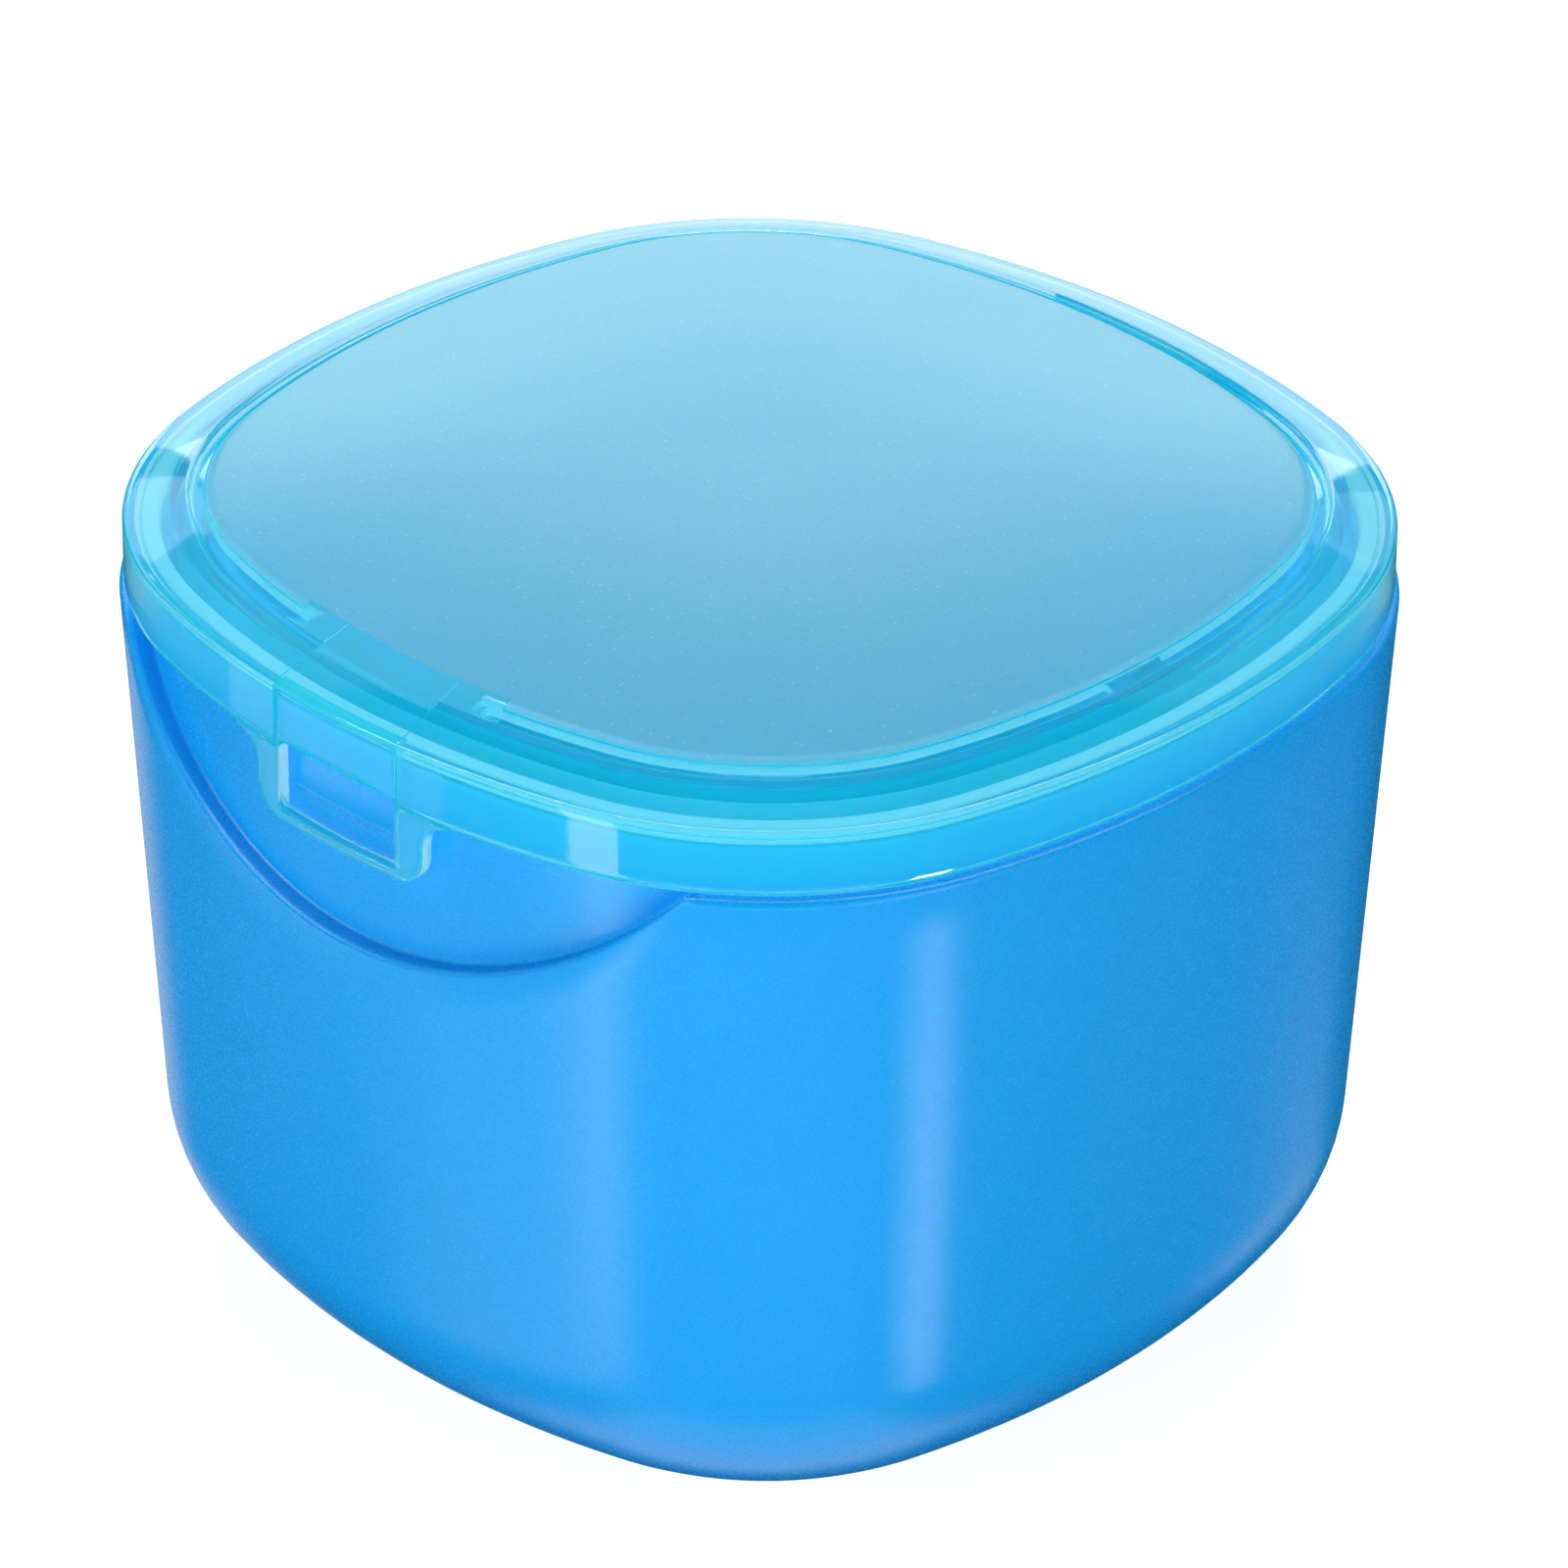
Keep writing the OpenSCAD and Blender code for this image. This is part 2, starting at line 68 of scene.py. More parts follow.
@dataclass(frozen=True)
class Outline:
    """Plan of the case: four bowed sides and four round corners, all arcs.

    A place on the outline is the turn of its outward normal. The side arcs have
    their middles on the axes, and a corner's arc touches both of its sides.
    """

    half_w: float
    half_d: float
    side_r: float = 77.5
    corner_r: float = 30.0

    def middles(self) -> tuple[float, float, float, float, float, float]:
        """Middles of the right side's, the back side's and the corner's arcs, and the
        turns at which the corner starts and ends.

        The corner's middle is where its distance to both side middles is the
        difference of the radii: the root of one quadratic.

        Returns:
            side_x, side_y, corner_x, corner_y, first turn, last turn.
        """
        side_x, side_y = self.half_w - self.side_r, self.half_d - self.side_r
        m = side_x / side_y
        c = (side_y**2 - side_x**2) / (2 * side_y)
        a = 1 + m * m
        b = 2 * m * c - 2 * side_x
        k = side_x**2 + c * c - (self.side_r - self.corner_r) ** 2
        corner_x = (math.sqrt(b * b - 4 * a * k) - b) / (2 * a)
        corner_y = m * corner_x + c
        first = math.atan2(corner_y, corner_x - side_x)
        last = math.atan2(corner_y - side_y, corner_x)
        return side_x, side_y, corner_x, corner_y, first, last

    def at(self, turns: Array, inset: Array) -> tuple[Array, Array]:
        """Points of the outline moved in by an inset: the arc's middle plus the
        shortened radius along the normal, mirrored from the first quarter.

        Args:
            turns: Turns of the normal in radians.
            inset: Distances in from the outline, of a shape that fits turns.

        Returns:
            X and Y of the points.
        """
        side_x, side_y, corner_x, corner_y, first, last = self.middles()
        c, s = np.cos(turns), np.sin(turns)
        folded = np.arctan2(np.abs(s), np.abs(c))
        right, back = folded <= first, folded >= last
        mid_x = np.select([right, back], [side_x, 0.0], corner_x)
        mid_y = np.select([right, back], [0.0, side_y], corner_y)
        reach = np.where(right | back, self.side_r, self.corner_r) - inset
        return np.sign(c) * mid_x + reach * c, np.sign(s) * mid_y + reach * s

    def normal(self, points: Array) -> Array:
        """Unit normals in the plan: away from the middle of the arc that a point is
        nearest to, which the point's turn about the corner's middle tells.

        Args:
            points: X and Y of points on a wall that follows the outline.

        Returns:
            X and Y of the normals.
        """
        side_x, side_y, corner_x, corner_y, first, last = self.middles()
        away = np.abs(points)
        turn = np.arctan2(away[:, 1] - corner_y, away[:, 0] - corner_x)
        right, back = turn <= first, turn >= last
        away[:, 0] -= np.select([right, back], [side_x, 0.0], corner_x)
        away[:, 1] -= np.select([right, back], [0.0, side_y], corner_y)
        return np.sign(points) * away / np.linalg.norm(away, axis=1)[:, None]

    def front(self, x: Array) -> Array:
        """Turns of the front side's normals at places across the case."""
        return np.arcsin(np.asarray(x, float) / self.side_r) - math.pi / 2

    def right(self, y: Array) -> Array:
        """Turns of the right side's normals at places along the case."""
        return np.arcsin(np.asarray(y, float) / self.side_r)

    def stations(self, count: int, *marks: Array) -> Array:
        """Even turns all round with finer marks among them.

        Even turns that fall within the span of a set of marks give way to it.

        Args:
            count: Number of even turns.
            marks: Sets of turns that are kept as they are.

        Returns:
            Rising turns over one whole turn.
        """
        turns = np.linspace(-math.pi, math.pi, count, endpoint=False)
        for some in marks:
            turns = turns[(turns < some.min()) | (turns > some.max())]
        return np.unique(np.concatenate([turns, *marks]))


@dataclass(frozen=True)
class CaseSizes:
    """Heights, insets and gaps that the tub, the lid and the latch share."""

    outline: Outline
    rim_z: float = 65.0
    skirt_h: float = 5.4
    skirt_t: float = 1.3
    lid_gap: float = 0.3
    neck_wall: float = 1.6
    neck_h: float = 3.6
    edge_r: float = 0.5
    crown_h: float = 5.6
    top_t: float = 1.5
    seam: float = 0.14
    latch_root_w: float = 12.9
    knuckle_r: float = 1.8
    knuckle_l: float = 14.0
    ear_l: float = 3.5
    pin_d: float = 1.6
    pin_play: float = 0.05
    hinge_gap: float = 0.36
    shoulder_proud: float = 0.4

    @property
    def skirt_z(self) -> float:
        """Height of the skirt's lower edge."""
        return self.rim_z - self.skirt_h

    @property
    def shoulder_z(self) -> float:
        """Height of the tub's shoulder."""
        return self.skirt_z - self.lid_gap

    @property
    def neck_in(self) -> float:
        """Inset of the neck's outer face."""
        return self.skirt_t + self.lid_gap

    @property
    def neck_z(self) -> float:
        """Height of the neck's top."""
        return self.shoulder_z + self.neck_h

    @property
    def cavity_in(self) -> float:
        """Inset of the cavity's wall at the mouth."""
        return self.neck_in + self.neck_wall

    @property
    def latch_top(self) -> float:
        """Height of the latch's root, where the rim's rounding starts."""
        return self.rim_z - self.edge_r

    @property
    def hinge_y(self) -> float:
        """Depth of the hinge axis."""
        return self.outline.half_d + self.shoulder_proud + self.knuckle_r + self.hinge_gap

    @property
    def hinge_z(self) -> float:
        """Height of the hinge axis, level with the skirt's lower edge."""
        return self.skirt_z

    @property
    def hinge(self) -> Array:
        """Depth and height of the hinge axis."""
        return np.array([self.hinge_y, self.hinge_z])

    @property
    def bore_r(self) -> float:
        """Radius of the hinge's bores: the pin's with its play."""
        return self.pin_d / 2 + self.pin_play

    def crown_z(self, inset: Array) -> Array:
        """Height of the lid's top: it climbs from the outer edge by a cubic that
        flattens towards the middle.

        Args:
            inset: Distances in from the outline.

        Returns:
            Heights above the table.
        """
        half_w = self.outline.half_w
        left = 1 - np.maximum(np.asarray(inset, float) - self.edge_r, 0) / (half_w - self.edge_r)
        return self.rim_z + self.crown_h * (1 - left**3)


# Meshes from grids


@dataclass
class Shell:
    """A closed skin of four-sided and three-sided faces, in millimetres."""

    points: Array
    quads: Array
    tris: Array = field(default_factory=lambda: np.zeros((0, 3), int))
    quad_slots: Any = 0
    tri_slots: Any = 0

    def outward(self) -> "Shell":
        """The same skin with its faces turned outwards, by the sign of the volume."""
        both = np.vstack([self.quads[:, [0, 1, 2]], self.quads[:, [0, 2, 3]], self.tris])
        a, b, c = (self.points[both[:, k]] for k in range(3))
        if np.einsum("ij,ij->i", a, np.cross(b, c)).sum() < 0:
            self.quads, self.tris = self.quads[:, ::-1], self.tris[:, ::-1]
        return self


def grid_shell(points: Array, wrap_rows: bool = False, slots: Optional[Array] = None) -> Shell:
    """A skin over a grid of points, whose columns run round.

    Where the rows don't wrap, the first and last rows are each closed by a fan to
    the middle of the row, which is the pole where the row is drawn in to a point.

    Args:
        points: Grid of rows, columns and X, Y, Z.
        wrap_rows: Whether the last row joins the first.
        slots: Finish number of each row's faces and columns.

    Returns:
        The skin, turned outwards.
    """
    rows, columns = points.shape[:2]
    index = np.arange(rows * columns).reshape(rows, columns)
    lower = index if wrap_rows else index[:-1]
    upper = np.roll(index, -1, axis=0) if wrap_rows else index[1:]
    quads = np.stack([lower, np.roll(lower, -1, axis=1), np.roll(upper, -1, axis=1), upper],
                     axis=-1)
    flat = points.reshape(-1, 3)
    quads = quads.reshape(-1, 4)
    if wrap_rows:
        shell = Shell(flat, quads)
    else:
        ends = [points[0].mean(axis=0), points[-1].mean(axis=0)]
        first, last = index[0], index[-1]
        pole = rows * columns
        tris = np.vstack([
            np.stack([np.roll(first, -1), first, np.full(columns, pole)], axis=-1),
            np.stack([last, np.roll(last, -1), np.full(columns, pole + 1)], axis=-1),
        ])
        shell = Shell(np.vstack([flat, ends]), quads, tris)
    if slots is not None:
        shell.quad_slots = slots.reshape(-1)
        shell.tri_slots = np.concatenate([slots[0], slots[-1]])
    return shell.outward()


@dataclass
class Rings:
    """Rows of a skin's grid that follow the plan, from its start to its end."""

    outline: Outline
    turns: Array
    rows: list[tuple[Any, Any, float]] = field(default_factory=list)
    slots: list[Array] = field(default_factory=list)

    def add(self, inset: Any, z: Any, share: float = 1.0, finish: Any = 0) -> None:
        """Adds a ring. Its inset, height and finish may change along the outline.

        Args:
            inset: Distance in from the outline.
            z: Height.
            share: Share of the full ring that it is drawn in to, about the middle.
            finish: Finish number of the faces between it and the ring before it.
        """
        if self.rows:
            self.slots.append(np.broadcast_to(finish, self.turns.shape).astype(int))
        self.rows.append((inset, z, share))

    def grid(self) -> Array:
        """The points: rows, columns and X, Y, Z."""
        grid = np.empty((len(self.rows), len(self.turns), 3))
        for ring, (inset, z, share) in zip(grid, self.rows):
            x, y = self.outline.at(self.turns, inset)
            ring[:, 0], ring[:, 1], ring[:, 2] = x * share, y * share, z
        return grid


def make_piece(name: str, shells: list[Shell], finishes: list[Material],
               sharp_deg: float = 40.0) -> Object:
    """One object from skins, at the origin, in metres and shaded smooth.

    Args:
        name: Name of the piece.
        shells: Skins that make it up.
        finishes: Materials, in the order of the skins' finish numbers.
        sharp_deg: Edges that turn more than this stay sharp.

    Returns:
        The new object.
    """
    mesh = bpy.data.meshes.new(name)
    points = np.vstack([s.points for s in shells]) * MM
    starts = np.cumsum([0] + [len(s.points) for s in shells[:-1]])
    parts = [(faces + at, slot) for s, at in zip(shells, starts)
             for faces, slot in ((s.quads, s.quad_slots), (s.tris, s.tri_slots))]
    corners, totals, slots = (np.concatenate(arrays).astype(np.int32) for arrays in (
        [faces.ravel() for faces, _ in parts],
        [np.full(*faces.shape) for faces, _ in parts],
        [np.broadcast_to(slot, len(faces)) for faces, slot in parts],
    ))
    mesh.vertices.add(len(points))
    mesh.vertices.foreach_set("co", points.astype(np.float32).ravel())
    mesh.loops.add(len(corners))
    mesh.loops.foreach_set("vertex_index", corners)
    mesh.polygons.add(len(totals))
    mesh.polygons.foreach_set("loop_start", np.concatenate([[0], np.cumsum(totals)[:-1]]))
    mesh.polygons.foreach_set("loop_total", totals)
    for finish in finishes:
        mesh.materials.append(finish)
    mesh.polygons.foreach_set("material_index", slots)
    mesh.update(calc_edges=True)
    mesh.validate()
    mesh.shade_smooth()
    mesh.set_sharp_from_angle(angle=math.radians(sharp_deg))
    piece = bpy.data.objects.new(name, mesh)
    bpy.context.scene.collection.objects.link(piece)
    LOG.info("%s: %d points, %d faces", name, len(points), len(totals))
    return piece


def arc(start_deg: float, end_deg: float, steps: int) -> tuple[Array, Array]:
    """Cosines and sines along an arc, ends included."""
    turns = np.radians(np.linspace(start_deg, end_deg, steps + 1))
    return np.cos(turns), np.sin(turns)


def circle(middle: Any, r: float, start_deg: float = 0, end_deg: float = 360,
           steps: int = 36) -> Array:
    """Points along a circle or a part of one, ends included."""
    return np.asarray(middle) + r * np.column_stack(arc(start_deg, end_deg, steps))


def rounded_ends(x0: float, x1: float, edge: float) -> list[tuple[float, float]]:
    """Places along a bar and how far its outline is drawn in there: a quarter circle
    at each end.

    Args:
        x0: First end.
        x1: Last end.
        edge: Radius of the quarter circles.

    Returns:
        X and inset of each place, from the first end to the last.
    """
    near = [(edge * (1 - b), edge * (1 - a)) for a, b in zip(*arc(0, 90, ROUND_STEPS))]
    return ([(x0 + gap, inset) for gap, inset in near[::-1]]
            + [(x1 - gap, inset) for gap, inset in near])


def along_x(rows: list[tuple[float, Array]]) -> Array:
    """A grid whose rows are outlines in Y and Z, each at its own X."""
    return np.array([np.column_stack([np.full(len(ring), x), ring]) for x, ring in rows])


def drilled_bar(outer: Array, axis: Array, bore_r: float, x0: float, x1: float,
                edge: float = 0.25) -> Shell:
    """A bar along X with an outline round an axis and a bore along that axis.

    The section runs from the bore over one rounded end, along the outside, over
    the other end and back through the bore: a ring of points at every step.

    Args:
        outer: Closed outline in Y and Z, in order round the axis.
        axis: Y and Z of the axis.
        bore_r: Radius of the bore.
        x0: First end.
        x1: Last end.
        edge: Rounding of the ends.

    Returns:
        The closed skin.
    """
    away = outer - axis
    away = away / np.linalg.norm(away, axis=1, keepdims=True)
    bore = axis + away * bore_r
    skin = [(x, outer - away * inset) for x, inset in rounded_ends(x0, x1, edge)]
    return grid_shell(along_x([(x0, bore), *skin, (x1, bore)]), wrap_rows=True)


def plain_bar(outer: Array, x0: float, x1: float, edge: float = 0.3) -> Shell:
    """A solid bar along X with rounded ends, its outline drawn in towards its middle.

    Args:
        outer: Closed outline in Y and Z.
        x0: First end.
        x1: Last end.
        edge: Rounding of the ends.

    Returns:
        The closed skin.
    """
    middle = outer.mean(axis=0)
    size = np.linalg.norm(outer - middle, axis=1).max()
    return grid_shell(along_x([(x, middle + (outer - middle) * (1 - inset / size))
                               for x, inset in rounded_ends(x0, x1, edge)]))


def turned_about_z(shell: Shell, turn_deg: float) -> Shell:
    """The same skin turned about the Z axis."""
    c, s = math.cos(math.radians(turn_deg)), math.sin(math.radians(turn_deg))
    spin = np.array([[c, -s, 0], [s, c, 0], [0, 0, 1]])
    return Shell(shell.points @ spin.T, shell.quads, shell.tris)


# Materials


def linear(colour: str) -> tuple[float, float, float, float]:
    """An sRGB colour of six hex digits as linear red, green, blue and one."""
    parts = [int(colour[k:k + 2], 16) / 255 for k in (0, 2, 4)]
    red, green, blue = (
        v / 12.92 if v <= 0.04045 else ((v + 0.055) / 1.055) ** 2.4 for v in parts
    )
    return red, green, blue, 1.0


def add_node(tree: NodeTree, kind: str, inputs: Optional[dict[Any, Any]] = None,
             **settings: Any) -> Node:
    """Adds a shader node, sets it and links it.

    Args:
        tree: Node tree to add to.
        kind: Type of the node, without the ShaderNode before it.
        inputs: For its inputs, by name or number, a value, a socket or a node that
            gives its first output.
        settings: Attributes of the node.

    Returns:
        The node.
    """
    node = tree.nodes.new("ShaderNode" + kind)
    for key, value in settings.items():
        setattr(node, key, value)
    for key, value in (inputs or {}).items():
        source = value.outputs[0] if isinstance(value, Node) else value
        if isinstance(source, NodeSocket):
            tree.links.new(source, node.inputs[key])
        else:
            node.inputs[key].default_value = source
    return node


def blank_material(name: str) -> tuple[Material, NodeTree]:
    """A material with an empty node tree."""
    material = bpy.data.materials.new(name)
    material.use_nodes = True
    material.node_tree.nodes.clear()
    return material, material.node_tree


def per_mm(size_mm: float) -> float:
    """Noise scale at which one grain is that many millimetres across."""
    return 1 / (size_mm * MM)


def mixed(tree: NodeTree, share: Any, first: Node, second: Node) -> Node:
    """Two shaders mixed, by the share of the second."""
    return add_node(tree, "MixShader", {0: share, 1: first, 2: second})


def blended(tree: NodeTree, share: Node, first: str, second: str) -> NodeSocket:
    """Two hex colours blended, by the share of the second."""
    return add_node(tree, "Mix", {0: share, 6: linear(first), 7: linear(second)},
                    data_type="RGBA").outputs[2]


def surfaced(material: Material, shader: Node) -> Material:
    """The material, with a shader as its surface."""
    add_node(material.node_tree, "OutputMaterial", {"Surface": shader})
    return material


def relief(tree: NodeTree, place: Any, grain_mm: float, rough: tuple[float, float],
           bump: Optional[tuple[float, float]] = None, **noise: float) -> dict[str, Node]:
    """The inputs of a shader with a fine relief: one noise lets the roughness wander
    and lifts the bump.

    Args:
        tree: Node tree to add to.
        place: Coordinates of the noise.
        grain_mm: Size of a grain.
        rough: Middle of the roughness and how far it wanders to either side.
        bump: Strength of the bump and its height in millimetres, or none.
        noise: Other inputs of the noise.

    Returns:
        The roughness and, with a bump, the normal.
    """
    grain = add_node(tree, "TexNoise", {"Vector": place, "Scale": per_mm(grain_mm), **noise})
    middle, spread = rough
    wander = add_node(tree, "MapRange",
                      {"Value": grain, "To Min": middle - spread, "To Max": middle + spread})
    inputs = {"Roughness": wander}
    if bump:
        strength, height_mm = bump
        inputs["Normal"] = add_node(tree, "Bump", {"Height": grain, "Strength": strength,
                                                   "Distance": height_mm * MM})
    return inputs


@dataclass(frozen=True)
class MouldedPlastic:
    """Injection-moulded polypropylene from a spark-eroded mould.

    The fine pits break the highlights up and leave a satin sheen; slow flow of the
    melt shows as a faint drift of the colour.
    """

    name: str
    colour: str
    drift: str
    roughness: float = 0.27
    spread: float = 0.06
    # Spark pits are about 0.05 mm across; they are drawn coarser so that they show
    grain_mm: float = 0.2
    # Strength of the bump and its height in millimetres, as in relief
    grain_bump: tuple[float, float] = (0.07, 0.2)
    drift_mm: float = 26.0
    ior: float = 1.49

    def build(self) -> Material:
        """Colour drift, a roughness that wanders a little and a fine pitted bump."""
        material, tree = blank_material(self.name)
        place = add_node(tree, "TexCoord").outputs["Object"]
        slow = add_node(tree, "TexNoise",
                        {"Vector": place, "Scale": per_mm(self.drift_mm), "Detail": 2.0})
        colour = blended(tree, slow, self.colour, self.drift)
        skin = relief(tree, place, self.grain_mm, (self.roughness, self.spread),
                      self.grain_bump, Detail=3.0, Roughness=0.6)
        return surfaced(material, add_node(tree, "BsdfPrincipled", {
            "Base Color": colour, "IOR": self.ior, **skin}))


@dataclass(frozen=True)
class ClearPlastic:
    """Injection-moulded SAN, a clear stiff plastic, dyed in the mass.

    Most light goes through; a small milky share scatters in the dye and glows. A
    polished mould leaves a glossy skin that waves by a few microns over some
    millimetres. A spark-eroded one frosts it, and the glints of its single pits are
    painted into the colour as fine light specks.
    """

    name: str
    tint: str
    glow: str
    milk: float
    roughness: float = 0.06
    spread: float = 0.02
    grain_mm: float = 7.0
    grain_bump: tuple[float, float] = (0.03, 0.6)
    # Colour of the painted glints on the frost's pits; none when empty
    painted_glint_colour: str = ""
    ior: float = 1.53
    through: float = 0.4
    # Painted glints: a pit that catches the light is about 0.1 mm across, and its glint is painted
    # as a light speck drawn at 0.2 mm
    painted_glint_mm: float = 0.42
    painted_glint_reach: tuple[float, float] = (0.15, 0.34)
    painted_glint_rare: tuple[float, float] = (0.8, 0.92)

    def build(self) -> Material:
        """Glass and milk mixed, and opened to the lamps' rays so that they reach inside."""
        material, tree = blank_material(self.name)
        place = add_node(tree, "TexCoord").outputs["Object"]
        skin = relief(tree, place, self.grain_mm, (self.roughness, self.spread),
                      self.grain_bump, Detail=3.0)
        tint, glow = linear(self.tint), linear(self.glow)
        glass = add_node(tree, "BsdfPrincipled", {
            "Base Color": tint, "IOR": self.ior, "Transmission Weight": 1.0, **skin})
        # The front's colour carries the painted glints, where there are any
        front = add_node(tree, "BsdfPrincipled", {
            "Base Color": self.with_painted_glints(tree, place) if self.painted_glint_colour else glow,
            "IOR": self.ior, **skin})
        behind = add_node(tree, "BsdfTranslucent", {"Color": glow})
        body = mixed(tree, self.milk, glass, mixed(tree, self.through, front, behind))
        opening = add_node(tree, "BsdfTransparent", {"Color": tint})
        ray = add_node(tree, "LightPath")
        return surfaced(material, mixed(tree, ray.outputs["Is Shadow Ray"], body, opening))

    def with_painted_glints(self, tree: NodeTree, place: NodeSocket) -> NodeSocket:
        """Colour of the frost with painted glints: the middles of a few cells of a fine
        pattern are painted a lighter colour where pits would catch the light.

        Args:
            tree: Node tree to add to.
            place: Object coordinates.

        Returns:
            The colour's socket.
        """
        cells = add_node(tree, "TexVoronoi",
                         {"Vector": place, "Scale": per_mm(self.painted_glint_mm)}, feature="F1")
        lit, dark = self.painted_glint_reach
        near = add_node(tree, "MapRange",
                        {"Value": cells.outputs["Distance"], "From Min": lit,
                         "From Max": dark, "To Min": 1.0, "To Max": 0.0})
        picked = add_node(tree, "SeparateColor", {0: cells.outputs["Color"]})
        least, full = self.painted_glint_rare
        rare = add_node(tree, "MapRange", {"Value": picked, "From Min": least, "From Max": full})
        both = add_node(tree, "Math", {0: near, 1: rare}, operation="MULTIPLY")
        # Painted glints: the frost's colour turns to the light glint colour in the picked cells
        return blended(tree, both, self.glow, self.painted_glint_colour)


@dataclass(frozen=True)
class DrawnSteel:
    """Stainless wire drawn through a die: fine lines run along it."""

    name: str
    colour: str = "C9CBCD"
    # Die lines are about 0.05 mm apart, drawn at 0.15 mm and fifty times as long
    line_mm: float = 0.15
    stretch: float = 0.02
    # Middle and spread of the roughness, as in relief
    rough: tuple[float, float] = (0.28, 0.1)
    line_bump: tuple[float, float] = (0.1, 0.1)

    def build(self) -> Material:
        """A metal with a roughness stretched along X."""
        material, tree = blank_material(self.name)
        place = add_node(tree, "TexCoord").outputs["Object"]
        along = add_node(tree, "Mapping", {"Vector": place, "Scale": (self.stretch, 1, 1)})
        skin = relief(tree, along, self.line_mm, self.rough, self.line_bump)
        return surfaced(material, add_node(tree, "BsdfPrincipled", {
            "Base Color": linear(self.colour), "Metallic": 1.0, **skin}))


@dataclass(frozen=True)
class Silicone:
    """Compression-moulded silicone rubber: milky, soft and a little dusty."""

    name: str
    colour: str = "DDF1F7"
    dust_mm: float = 0.6
    rough: tuple[float, float] = (0.51, 0.09)
    clear: float = 0.5
    ior: float = 1.41

    def build(self) -> Material:
        """A half clear shader with a matt, faintly uneven skin."""
        material, tree = blank_material(self.name)
        place = add_node(tree, "TexCoord").outputs["Object"]
        skin = relief(tree, place, self.dust_mm, self.rough)
        return surfaced(material, add_node(tree, "BsdfPrincipled", {
            "Base Color": linear(self.colour), "IOR": self.ior,
            "Transmission Weight": self.clear, **skin}))


class Finish(Enum):
    """The finishes of the case's pieces."""

    TUB = MouldedPlastic("polypropylene_spark_eroded_blue", "069AE8", "0CA0EE")
    BASKET = MouldedPlastic("polypropylene_spark_eroded_basket_blue", "069AE8", "0CA0EE",
                            roughness=0.42)
    CLEAR = ClearPlastic("san_moulded_polished_aqua", "E6F7FB", "14CEE0", milk=0.36)
    THICK = ClearPlastic("san_moulded_thick_aqua", "E6F7FB", "56D6EA", milk=0.62)
    # The frost has painted glints: fine light specks of D8F4FF in its colour
    FROST = ClearPlastic("san_moulded_frosted_aqua", "D8F2F9", "68C6D3", milk=0.6,
                         roughness=0.42, spread=0.06, grain_mm=0.3, grain_bump=(0.15, 0.2),
                         painted_glint_colour="D8F4FF")
    SEAL = Silicone("silicone_moulded_clear")
    PIN = DrawnSteel("stainless_steel_drawn")


# The pieces


